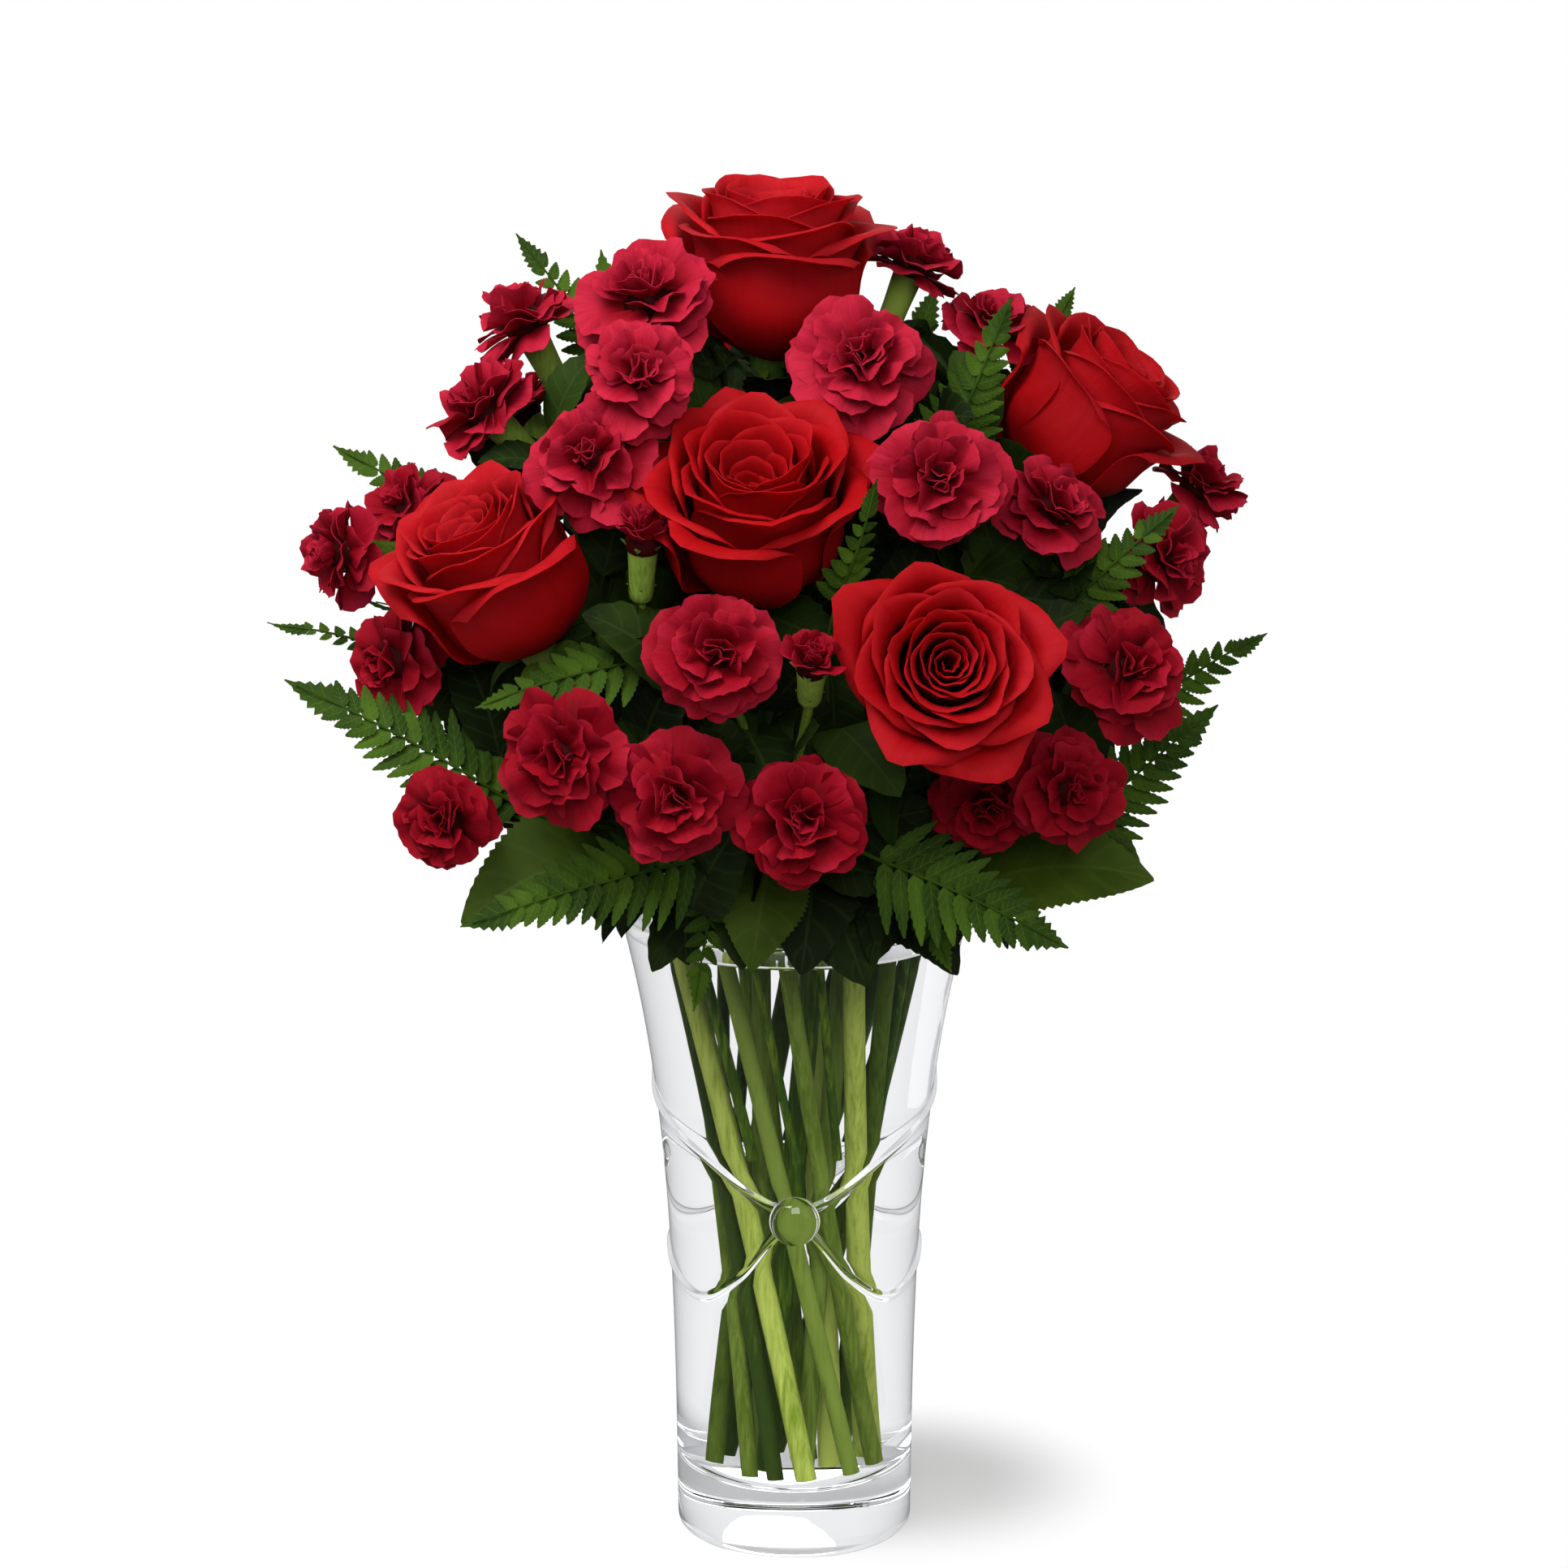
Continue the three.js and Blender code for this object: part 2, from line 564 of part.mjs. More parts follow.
// One fan-shaped petal of a tier: its outer edge is notched in the middle and ruffled to either side.
function carnationPetal(tier, k, bloom, sides) {
  const radius = bloom.width / 2;
  const rise = rad(Math.min(84, tier.rise + 64 * (1 - bloom.open)));
  const half = (180 / sides) * (bloom.open < 1 ? CARNATION.budFan : CARNATION.fan);
  return [
    [-1, 0, 1].map((across) => {
      const random = draw(bloom.number * 31 + tier.turn * 7 + k * 3 + across);
      const reach = (tier.reach - (across ? 0 : 0.06) + 0.05 * random) * radius;
      const angle = rad(tier.turn + (360 * (k + 0.5)) / sides + across * half);
      const r = tier.core * radius + reach * Math.cos(rise);
      const z = tier.z * radius + reach * Math.sin(rise) + CARNATION.ruffle * random * radius * bloom.open;
      return new THREE.Vector3(r * Math.cos(angle), r * Math.sin(angle), z);
    }),
  ];
}

// A carnation's head about the mouth of its calyx.
function carnationHead(bloom) {
  const radius = bloom.width / 2;
  const sides = bloom.width < CARNATION.smallWidth ? 4 : 5;
  const tiers = CARNATION.tiers.filter((_, i) => bloom.open > 0.3 || i !== 1);
  const rings = [[tiers[0].core * radius, 0.35, 0]];
  const petals = {};
  for (const tier of tiers) {
    petals[rings.length] = (k) => (tier.everyOther && k % 2 ? null : carnationPetal(tier, k, bloom, sides));
    for (const side of [-1, 1]) rings.push([tier.core * radius, tier.z * radius + (side * PETAL_THICKNESS) / 2, tier.turn]);
  }
  return headOf(rings, sides, petals);
}

// Leaves
// The directions of a blade that lies from its base to its tip with its upper face looking one way.
function frameOf({ base, tip, faces }) {
  const [from, to] = [vec(base), vec(tip)];
  const ahead = to.clone().sub(from).normalize();
  const side = ahead.clone().cross(unit(faces)).normalize();
  return { from, to, ahead, side, normal: side.clone().cross(ahead), length: from.distanceTo(to) };
}

// The flat stalk of a blade, as pairs of points from the hub that carries it to the blade's base.
function ribbon(hub, heading, { from, ahead, side }, half) {
  return bend(hub, heading, from, ahead, 2)
    .slice(0, -1)
    .map((p) => [-1, 1].map((hand) => p.clone().addScaledVector(side, hand * half)));
}

// A fern's pinna as one arched blade with its stalk, cut to its rib in pairs of leaflets.
function pinnaSheet(pinna, hub, heading) {
  const frame = frameOf(pinna);
  const { from, to, ahead, side, normal, length } = frame;
  const pairs = clamp(Math.round(length / 11), 3, 6);
  const rib = (s) => along(from, to, s).addScaledVector(normal, 0.28 * length * s * (1 - s));
  const points = [];
  const triangles = [];
  const put = (p) => points.push(p) - 1;
  let last = null;
  const strip = (pair) => {
    const next = pair.map(put);
    if (last) triangles.push([last[0], last[1], next[1]], [last[0], next[1], next[0]]);
    last = next;
  };
  ribbon(hub, heading, frame, 0.75).forEach(strip);
  strip([-0.75, 0.75].map((half) => rib(0).addScaledVector(side, half)));
  for (let k = 0; k < pairs; k++) {
    const near = last;
    const s = (k + 1) / (pairs + 0.6);
    const reach = pinna.half * (1 - (k / (pairs + 0.5)) ** 1.5) * (k ? 1 : 0.85);
    strip([-0.6, 0.6].map((half) => rib(s).addScaledVector(side, half)));
    for (const hand of [0, 1]) {
      const out = side.clone().multiplyScalar(2 * hand - 1);
      const end = rib(s - 0.5 / pairs).addScaledVector(out, 0.92 * reach).addScaledVector(ahead, 0.38 * reach);
      const point = put(end.addScaledVector(normal, -0.16 * reach));
      triangles.push(hand ? [near[1], point, last[1]] : [near[0], last[0], point]);
    }
  }
  triangles.push([last[0], last[1], put(rib(1))]);
  return { points, triangles };
}

// A salal leaf with its stalk: an oval blade folded at its rib and waved along its edge.
function salalSheet(leaf, hub, heading) {
  const frame = frameOf(leaf);
  const { from, to, side, normal, length } = frame;
  const points = ribbon(hub, heading, frame, 0.9).flat();
  const triangles = [[0, 1, 3], [0, 3, 2], [2, 3, 5], [3, 6, 5], [2, 5, 4]];
  for (let row = 0; row < LEAF_ROWS; row++) {
    const v = row / LEAF_ROWS;
    const width = leaf.half * Math.max(0.06, Math.sin(Math.PI * v ** 0.8) ** 0.8) * (1 + 0.06 * (-1) ** row);
    const rib = along(from, to, v).addScaledVector(normal, 0.16 * length * Math.sin(Math.PI * v));
    for (const across of [-1, 0, 1]) {
      points.push(rib.clone().addScaledVector(side, across * width).addScaledVector(normal, 0.16 * Math.abs(across) * width));
    }
  }
  for (let a = 4; a + 5 < points.length; a += 3) {
    triangles.push([a, a + 1, a + 4], [a, a + 4, a + 3], [a + 1, a + 2, a + 5], [a + 1, a + 5, a + 4]);
  }
  const tip = points.push(to) - 1;
  triangles.push([tip - 3, tip - 2, tip], [tip - 2, tip - 1, tip]);
  return { points, triangles };
}

// Everything that stands in the vase, so that each stem has its own place.
const stems = new Map();
const addStem = (name, ring, radius, sides, target) => stems.set(name, { ring, radius, sides, target });

const rosePlaces = {};
for (const [name, rose] of Object.entries(ROSES)) {
  rosePlaces[name] = placement(rose.at, rose.faces, ROSE.middle, rose.width / ROSE.width);
  addStem(name, rose.ring, ROSE_STEM, ROSE.sides, rosePlaces[name].seat);
}
const blooms = Object.values(SPRAYS).flatMap((spray) => spray.blooms);
blooms.forEach((bloom, i) => Object.assign(bloom, { number: i + 1, node: "carnation_" + String(i + 1).padStart(2, "0") }));
for (const [name, spray] of Object.entries(SPRAYS)) {
  for (const bloom of spray.blooms) bloom.place = placement(bloom.at, bloom.faces, CARNATION.middle * (bloom.width / 2), 1);
  addStem(name, spray.ring, SPRAY_STEM, 5, middleOf(spray.blooms.map((b) => b.place.seat.clone())));
}
for (const [plants, radius] of [[FERNS, FERN_STEM], [TWIGS, LEAF_STEM]]) {
  for (const [name, plant] of Object.entries(plants)) addStem(name, "outer", radius, 4, middleOf(plant.blades.map((b) => vec(b.base))));
}
for (const [ring, shape] of Object.entries(RINGS)) placeInRing([...stems.values()].filter((s) => s.ring === ring), shape);
// The stems of the foliage are cut short and only reach into the water.
for (const name of [...Object.keys(FERNS), ...Object.keys(TWIGS)]) stems.get(name).foot.lerp(stems.get(name).mouth, CUT_SHORT);

const solids = new Map();
const clearances = new Map();
const outlines = new Map();

// Rose stems, each swelling into a hip with five sepals
for (const [name, rose] of Object.entries(ROSES)) {
  const scale = rose.width / ROSE.width;
  const { seat, axis } = rosePlaces[name];
  const stem = stems.get(name);
  const path = stemPath(stem, seat.clone().addScaledVector(axis, -12 * scale), axis, 4);
  const hip = [[4.4, -6], [5, -2.2], [5.4, -1.4], [5.4, -0.35]];
  const centres = [...path, ...hip.map(([, z]) => seat.clone().addScaledVector(axis, z * scale))];
  const radii = [...path.map(() => stem.radius), ...hip.map(([r]) => r * scale)];
  const grown = (extra) => {
    const rings = ringsAlong(centres, radii.map((r) => r + extra), stem.sides);
    return stalk(rings, { [rings.length - 3]: sepal(rings.at(-3), scale, axis) }, LEAF_THICKNESS + 2 * extra);
  };
  solids.set(name + "_stem", grown(0));
  clearances.set(name + "_stem", grown(CLEARANCE));
}

// Spray stems, with a twig and a calyx for each bloom
for (const [name, spray] of Object.entries(SPRAYS)) {
  const stem = stems.get(name);
  const hub = along(stem.mouth, stem.target, 0.45);
  const heading = stem.target.clone().sub(stem.mouth).normalize();
  const trunk = stemSolids(stem, hub, heading, 2);
  const parts = [trunk.solid];
  for (const bloom of spray.blooms) {
    const { seat, axis } = bloom.place;
    const size = bloom.width / 40;
    const length = CALYX.length * Math.sqrt(size);
    const foot = seat.clone().addScaledVector(axis, -length);
    const root = hub.clone().addScaledVector(heading, -3);
    const twig = bend(root, heading, foot, axis, 2);
    const tube = [0.3, 1].map((share) => along(foot, seat, share));
    const top = CALYX.radius * Math.min(1.1, Math.sqrt(size));
    const radii = [...twig.map(() => TWIG), 0.85 * top, top];
    parts.push(sweep([...twig, ...tube], radii, 5));
    bloom.clear = sweep([...twig, ...tube], radii.map((r) => r + CLEARANCE), 5);
  }
  solids.set(name, joined(parts));
  clearances.set(name, joined([trunk.clear, ...spray.blooms.map((bloom) => bloom.clear)]));
}

// Rose heads first, then the carnations, each kept clear of the stems and of the heads before it.
const roseShape = roseHead();
for (const name of Object.keys(ROSES)) {
  const head = roseShape.transform(rosePlaces[name].matrix.toArray());
  const others = [...clearances].filter(([owner]) => owner !== name + "_stem").map(([, clear]) => clear);
  const kept = trimmed(head, [...others, ...outlines.values()]);
  solids.set(name + "_bloom", kept);
  outlines.set(name + "_bloom", outlineOf(kept, CLEARANCE));
}
for (const [name, spray] of Object.entries(SPRAYS)) {
  const others = [...clearances].filter(([owner]) => owner !== name).map(([, clear]) => clear);
  for (const bloom of spray.blooms) {
    const siblings = spray.blooms.filter((other) => other !== bloom).map((other) => other.clear);
    const head = carnationHead(bloom).transform(bloom.place.matrix.toArray());
    const kept = trimmed(head, [...others, ...siblings, ...outlines.values()]);
    solids.set(bloom.node, kept);
    outlines.set(bloom.node, outlineOf(kept, CLEARANCE));
  }
}

// Foliage, kept clear of everything before it
function addFoliage(name, { fork, blades }, sheetOf) {
  const stem = stems.get(name);
  const hub = along(stem.mouth, stem.target, fork);
  const heading = stem.target.clone().sub(stem.mouth).normalize();
  const { solid, clear } = stemSolids(stem, hub, heading, 2);
  const root = hub.clone().addScaledVector(heading, -2.5);
  const sheets = blades.map((each) => sheetOf(each, root, heading));
  const grown = (extra) => sheets.map(({ points, triangles }) => blade(points, triangles, LEAF_THICKNESS + 2 * extra, extra));
  solids.set(name, trimmed(joined([solid, ...grown(0)]), [...clearances.values(), ...outlines.values()]));
  clearances.set(name, joined([clear, ...grown(CLEARANCE)]));
}
for (const [name, fern] of Object.entries(FERNS)) addFoliage(name, fern, pinnaSheet);
for (const [name, twig] of Object.entries(TWIGS)) addFoliage(name, twig, salalSheet);

// Water, with a plain hole for each stem
function buildWater() {
  const gap = VASE.wall + 0.4;
  const heights = [VASE.floor + 3, 120, 180, WATER_LEVEL];
  const profile = [
    [0, VASE.floor + 0.4],
    [outerRadius(VASE.floor) - gap - 2.5, VASE.floor + 0.4],
    ...heights.map((z) => [outerRadius(z) - gap - 0.4, z]),
    [0, WATER_LEVEL],
  ];
  let body = latheSolid(profile, 18);
  for (const stem of stems.values()) {
    const beyond = along(stem.foot, stem.mouth, -0.02);
    body = body.subtract(sweep([beyond, stem.mouth], [1, 1].map(() => stem.radius + CLEARANCE), stem.sides));
  }
  return body;
}

// The bouquet
const bouquet = new THREE.Group();

// A named mesh that sits at its own seat and turn.
function addMesh(name, solid, material, place) {
  const local = place ? new THREE.Matrix4().compose(place.seat, place.turn, new THREE.Vector3(1, 1, 1)) : new THREE.Matrix4();
  const { numProp, vertProperties, triVerts } = solid.transform(local.clone().invert().toArray()).getMesh();
  const position = new Float32Array((vertProperties.length / numProp) * 3);
  for (let i = 0; i * numProp < vertProperties.length; i++) position.set(vertProperties.subarray(i * numProp, i * numProp + 3), i * 3);
  const geometry = new THREE.BufferGeometry()
    .setAttribute("position", new THREE.BufferAttribute(position, 3))
    .setIndex(new THREE.BufferAttribute(triVerts, 1));
  geometry.computeVertexNormals();
  const mesh = new THREE.Mesh(geometry, material);
  mesh.name = name;
  mesh.applyMatrix4(local);
  bouquet.add(mesh);
}

addMesh("vase", buildVase(), GLASS);
addMesh("water", buildWater(), LIQUID);
for (const name of Object.keys(ROSES)) {
  addMesh(name + "_stem", solids.get(name + "_stem"), STEM_GREEN);
  addMesh(name + "_bloom", solids.get(name + "_bloom"), ROSE_RED, rosePlaces[name]);
}
for (const [name, spray] of Object.entries(SPRAYS)) {
  addMesh(name, solids.get(name), CALYX_GREEN);
  for (const bloom of spray.blooms) addMesh(bloom.node, solids.get(bloom.node), CARNATION_RED, bloom.place);
}
for (const name of Object.keys(FERNS)) addMesh(name, solids.get(name), FERN_GREEN);
for (const name of Object.keys(TWIGS)) addMesh(name, solids.get(name), SALAL_GREEN);

export default bouquet;
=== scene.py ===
import math
from collections import namedtuple

import bpy
import numpy as np
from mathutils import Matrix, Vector


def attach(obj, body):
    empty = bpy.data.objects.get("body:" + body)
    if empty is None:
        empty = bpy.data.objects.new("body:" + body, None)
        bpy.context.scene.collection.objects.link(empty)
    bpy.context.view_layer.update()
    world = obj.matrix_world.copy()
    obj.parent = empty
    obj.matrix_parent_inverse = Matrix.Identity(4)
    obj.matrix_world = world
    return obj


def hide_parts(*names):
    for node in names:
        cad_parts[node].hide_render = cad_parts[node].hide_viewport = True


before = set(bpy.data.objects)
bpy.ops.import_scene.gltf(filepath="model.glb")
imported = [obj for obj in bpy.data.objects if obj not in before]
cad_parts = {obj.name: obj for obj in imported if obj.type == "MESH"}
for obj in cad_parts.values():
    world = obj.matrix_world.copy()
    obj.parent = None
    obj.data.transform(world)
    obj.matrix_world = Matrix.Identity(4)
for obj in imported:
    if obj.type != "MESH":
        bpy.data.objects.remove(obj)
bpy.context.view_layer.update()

MM = 0.001
TINY = 1e-9
GOLDEN_ANGLE = math.radians(137.5)

# Camera
CAMERA_AT = (-3.25, -1800, 735)
CAMERA_AIM = (-3.25, 0, 242)
CAMERA_LENS = 139.1
CAMERA_SENSOR = 36
CAMERA_REACH = 50

# Lamps, in metres and watts: where each stands and aims, its width, height, power and shape
LAMPS = {
    "key": ((-0.26, -0.33, 0.82), (0, 0, 0.3), 0.36, 0.36, 4.9, "RECTANGLE"),
    "front": ((0.1, -1.2, 1.0), (0, 0, 0.3), 0.7, 0.7, 10, "RECTANGLE"),
    "fill": ((1.5, -1.7, 1.0), (0, 0, 0.22), 1.0, 1.4, 2, "RECTANGLE"),
    "back": ((0.2, 1.5, 1.1), (0, 0, 0.3), 1.3, 1.3, 9, "ELLIPSE"),
    "strip_left": ((-1.2, -0.2, 0.5), (0, 0, 0.15), 0.25, 1.2, 2.6, "RECTANGLE"),
    "strip_right": ((1.2, 0.1, 0.5), (0, 0, 0.15), 0.25, 1.2, 2.6, "RECTANGLE"),
}

# World and floor: light on its way round the scene, and what mirrors show. Lengths are in metres.
WORLD_LIGHT = (0.34, 0.08)
FLOOR_BOUNCE = (0.4, 0.1)
FLOOR_LIT = 0.71
FLOOR_GLOW = 0.03
FLOOR_REACH = 12
SHADOW_MIDDLE = (0.035, 0.03, 0)
SHADOW_REACH = (0.024, 0.074)
SIDE_GREY = 0.75
SIDE_SPAN = (0.35, 0.93)

# Materials: how much each part counts towards the colour's level, where its colours lie, and the bumps
ROUGHNESS_SPREAD = 0.2
# Petals go from painted shade at the claw, through their body colour, to a painted highlight at the rim
PETAL_MIX = (0.55, 0.5, 0.14)
PETAL_LEVELS = (0.12, 0.55, 0.98)
PETAL_CLOUD = 90.0
PETAL_VEIN_LEVELS = (0.4, 0.8)
PETAL_VEIN_SHARE = 0.3
PETAL_RELIEF = (1, 0.6)
PETAL_BUMP = (0.25, 0.0006)
LEAF_MIX = (0.8, 0.22)
LEAF_LEVELS = (0.15, 0.8)
LEAF_CLOUD = 70.0
LEAF_GRAIN = 900.0
LEAF_VEIN_SLANT = 1.1
LEAF_VEIN_POWER = 24.0
LEAF_RIB_WIDTH = 14.0
LEAF_LINES = (0.35, 0.8)
LEAF_RELIEF = (0.4, -1)
LEAF_BUMP = (0.35, 0.0004)
LEAF_GLOSS = 0.12
STEM_MIX = (0.55, 0.5, 0.3)
STEM_LEVELS = (0.2, 0.52, 0.84)
STEM_STREAK = 900.0
STEM_STRETCH = 0.06
STEM_CLOUD = 28.0
STEM_GRAIN = 1400.0
STEM_RELIEF = (1, 0.3)
STEM_BUMP = (0.3, 0.0004)
STEM_GLOSS = 0.1
# Painted shade on stems above the vase, and the heights in metres over which it comes in
STEM_PAINTED_SHADE = (0.02, 0.045, 0.006)
STEM_SHADE_HEIGHTS = (0.2, 0.25)
CLEAR_SWELL = 30.0
CLEAR_BUMP = 0.1
CLEAR_STRAIGHT = 0.93
ALL_MIRRORED = 0.999
MOST_MIRRORED = 2.5
MOST_BENT = 8.5
GLASS_HAZE = (0.8, 0.815, 0.84, 1)
GLASS_HAZE_DENSITY = 6.5

# Vase and water. Rings are pairs of a radius and a height or drop.
HEIGHT = 205
FOOT_RADIUS = 36.8
TAPER = 2.1
FLARE = 16.1
FLARE_POWER = 3.3
WALL = 3.4
LIP = WALL / 2
LIP_RINGS = 9
FLOOR = 21
FLOOR_CORNER = 6
CORNER_RINGS = 7
FLOOR_RINGS = (24, 14, 5, 0.01)
FLOOR_DISH = 0.5
DISH_REACH = 28
FOOT_CHAMFER = 3
FOOT_HOLLOW = [(0.01, 1.6), (14, 1.5), (24, 1.1), (30.5, 0.4), (32.4, 0.05), (33.6, 0)]
UPPER_WAVE = [(0, 117), (45, 133), (90, 145), (110, 151), (145, 134), (180, 117)]
LOWER_WAVE = [(0, 112), (25, 94), (48, 84), (75, 88), (100, 94), (140, 85), (160, 96), (180, 112)]
WAVE_HALF = 2.2
WAVE_RISE = 1.1
WAVE_RINGS = 15
WAVE_POWER = 0.8
WALL_RINGS = (18, 8, 16, 26)
INNER_LOW = 9
INNER_TOP = 6
WET_REACH = 0.2
VASE_SIDES = 192
BEAD_RADIUS = 7.8
BEAD_DEPTH = 5
BEAD_HEIGHT = 114.5
BEAD_SINK = 2.6
BEAD_RINGS = 23
BEAD_SIDES = 48
GLASS_SHARP = 60
BEAD_SHARP = 50
WATER_LEVEL = 199
WATER_OVERLAP = 0.06
WATER_SIDES = 96
WATER_RINGS = 24
WATER_FLOOR = [(0.01, 0.56), (5, 0.47), (14, 0.31), (24, 0.13)]
WATER_BRIM = [(0.5, 0.6), (1.4, 1.2), (3, 1.5)]
WATER_DROP = 1.5

# Stems. Each ring has its radius at the mouth and at the foot, and the turn between them in degrees.
RINGS = {"outer": (28.5, 19, 95), "inner": (11.5, 8.5, -80)}
STEM_GAP = 1
FOOT_Z = 21.6
STANDING = 12
ROSE_STEM = 2.9
SPRAY_STEM = 2.3
FERN_STEM = 1.2
LEAF_STEM = 1.5
CUT_SHORT = 0.58
TWIG = 1.5
SPRAY_FORK = 0.45
STEM_SIDES = 14
STEM_TONES = [1, -0.5, 0.4, -1, 0.7, -0.2]

# Where each head is, which way it faces, its width, and the ring its stem stands in.
ROSES = {
    "rose_top": ((-7, -5, 405), (0.03, -0.05, 1), 68, "inner"),
    "rose_right": ((88, -8, 360), (0.66, -0.07, 0.75), 64, "outer"),
    "rose_middle": ((-11, -75, 345), (-0.03, -0.48, 0.88), 70, "inner"),
    "rose_left": ((-89, -70, 325), (-0.44, -0.29, 0.85), 66, "outer"),
    "rose_front": ((43, -102, 304), (0.08, -0.92, 0.38), 62, "outer"),
    "rose_back": ((-14, 82, 338), (-0.08, 0.62, 0.78), 64, "inner"),
}
# Each spray's ring, then its blooms: middle, the way it faces, width, and how far it has opened.
SPRAYS = {
    "spray_upper_left": ("outer", [
        ((-83, -5, 391), (-0.45, -0.02, 0.89), 38, 1),
        ((-95, -25, 367), (-0.66, -0.17, 0.73), 38, 1),
        ((-88, 42, 352), (-0.72, 0.34, 0.6), 38, 1),
    ]),
    "spray_upper_middle": ("inner", [
        ((-44, -42, 404), (-0.2, -0.5, 0.84), 43, 1),
        ((-45, -76, 386), (0, -0.89, 0.45), 36, 1),
        ((-60, -78, 362), (-0.25, -0.86, 0.45), 40, 1),
        ((-44, -86, 340), (0.05, -0.26, 0.96), 22, 0.5),
    ]),
    "spray_left": ("outer", [
        ((-119, -11, 333), (-0.6, -0.47, 0.65), 33, 1),
        ((-139, -30, 322), (-0.86, -0.49, 0.13), 33, 1),
        ((-121, -54, 294), (-0.71, -0.69, 0.05), 35, 1),
    ]),
    "spray_lower_left": ("outer", [
        ((-68, -105, 279), (-0.25, -0.94, 0.21), 41, 1),
        ((-35, -112, 268), (-0.1, -0.98, 0.17), 39, 1),
        ((-104, -85, 254), (-0.36, -0.91, 0.2), 32, 1),
    ]),
    "spray_lower_middle": ("outer", [
        ((-22, -115, 312), (0, -0.93, 0.36), 40, 1),
        ((5, -112, 309), (0.05, -0.64, 0.76), 19, 0.4),
        ((2, -115, 262), (0, -0.99, 0.17), 42, 1),
    ]),
    "spray_lower_right": ("outer", [
        ((57, -78, 256), (0, -0.99, 0.06), 33, 1),
        ((81, -84, 263), (0.4, -0.9, 0.15), 37, 1),
        ((99, -75, 298), (0.31, -0.82, 0.49), 41, 1),
    ]),
    "spray_right": ("outer", [
        ((77, -60, 345), (0.45, -0.47, 0.76), 37, 1),
        ((125, 4, 338), (0.62, -0.09, 0.77), 32, 1),
        ((113, -30, 320), (0.76, -0.63, 0.17), 38, 1),
    ]),
    "spray_upper_right": ("inner", [
        ((20, -55, 387), (0.05, -0.81, 0.58), 43, 1),
        ((42, -85, 357), (0.1, -0.93, 0.36), 42, 1),
        ((37, 10, 406), (0.36, 0, 0.93), 34, 1),
        ((60, 8, 387), (0.3, -0.15, 0.95), 33, 1),
    ]),
    "spray_back": ("outer", [
        ((50, 78, 330), (0.45, 0.62, 0.64), 40, 1),
        ((-58, 92, 286), (-0.42, 0.86, 0.29), 39, 1),
        ((26, 104, 276), (0.22, 0.93, 0.3), 40, 1),
    ]),
}
# Each fern and twig: how far up its stem forks, then its blades: base, tip, half width, and the way the upper
# face looks.
FERNS = {
    "fern_lower_left": (0.6, [
        ((-82, -62, 252), (-150, -60, 290), 22, (-0.1, -0.8, 0.6)),
        ((-30, -82, 241), (-97, -92, 224), 20, (-0.1, -0.85, 0.5)),
        ((-20, -62, 240), (-30, -66, 191), 13, (-0.3, -0.95, 0.1)),
        ((-46, -84, 302), (-92, -90, 290), 14, (-0.1, -0.75, 0.65)),
    ]),
    "fern_left": (0.45, [
        ((-96, 16, 316), (-140, 16, 344), 15, (-0.2, -0.7, 0.7)),
        ((-112, -4, 280), (-160, 2, 292), 9, (0, -0.5, 0.9)),
        ((-56, 22, 370), (-84, 24, 408), 12, (0.2, -0.95, 0.2)),
        ((-52, 40, 346), (-60, 62, 396), 17, (-0.3, 0.9, 0.3)),
    ]),
    "fern_lower_right": (0.45, [
        ((24, -80, 241), (79, -96, 219), 23, (0.1, -0.85, 0.5)),
        ((30, -62, 240), (46, -76, 206), 13, (0.25, -0.95, 0.1)),
        ((12, -90, 322), (23, -104, 360), 9, (0.3, -0.95, 0)),
    ]),
    "fern_right": (0.45, [
        ((78, -48, 236), (126, -38, 276), 20, (0.2, -0.85, 0.5)),
        ((105, -14, 268), (143, -4, 290), 13, (0.1, -0.6, 0.8)),
        ((76, -50, 305), (112, -58, 342), 15, (0.1, -0.85, 0.5)),
        ((74, 32, 246), (128, 54, 260), 20, (0.3, 0.3, 0.9)),
    ]),
    "fern_top_right": (0.45, [
        ((44, -40, 353), (63, -44, 401), 15, (0.1, -0.97, 0.25)),
        ((70, 30, 362), (85, 26, 391), 10, (0.1, -0.9, 0.4)),
        ((26, 44, 340), (44, 66, 384), 16, (0.3, 0.85, 0.4)),
    ]),
    "fern_back": (0.45, [
        ((-74, 40, 262), (-134, 58, 286), 20, (-0.3, 0.5, 0.8)),
        ((-34, 74, 240), (-62, 112, 222), 20, (-0.2, 0.85, 0.5)),
        ((34, 76, 238), (66, 110, 218), 20, (0.2, 0.85, 0.5)),
    ]),
}
TWIGS = {
    "salal_left": (0.45, [
        ((-44, -54, 238), (-99, -76, 219), 20, (-0.25, -0.75, 0.6)),
        ((-54, -38, 246), (-96, -50, 252), 14, (-0.3, -0.3, 0.9)),
        ((-46, -18, 232), (-108, -2, 224), 18, (-0.3, 0.1, 0.95)),
        ((-7, -54, 236), (-13, -78, 206), 14, (0, -0.9, 0.4)),
    ]),
    "salal_right": (0.45, [
        ((50, -50, 221), (107, -60, 230), 19, (0.1, -0.6, 0.8)),
        ((62, -30, 240), (106, -30, 222), 15, (0.3, -0.3, 0.9)),
        ((54, 14, 234), (104, 34, 224), 19, (0.3, 0.1, 0.95)),
    ]),
}

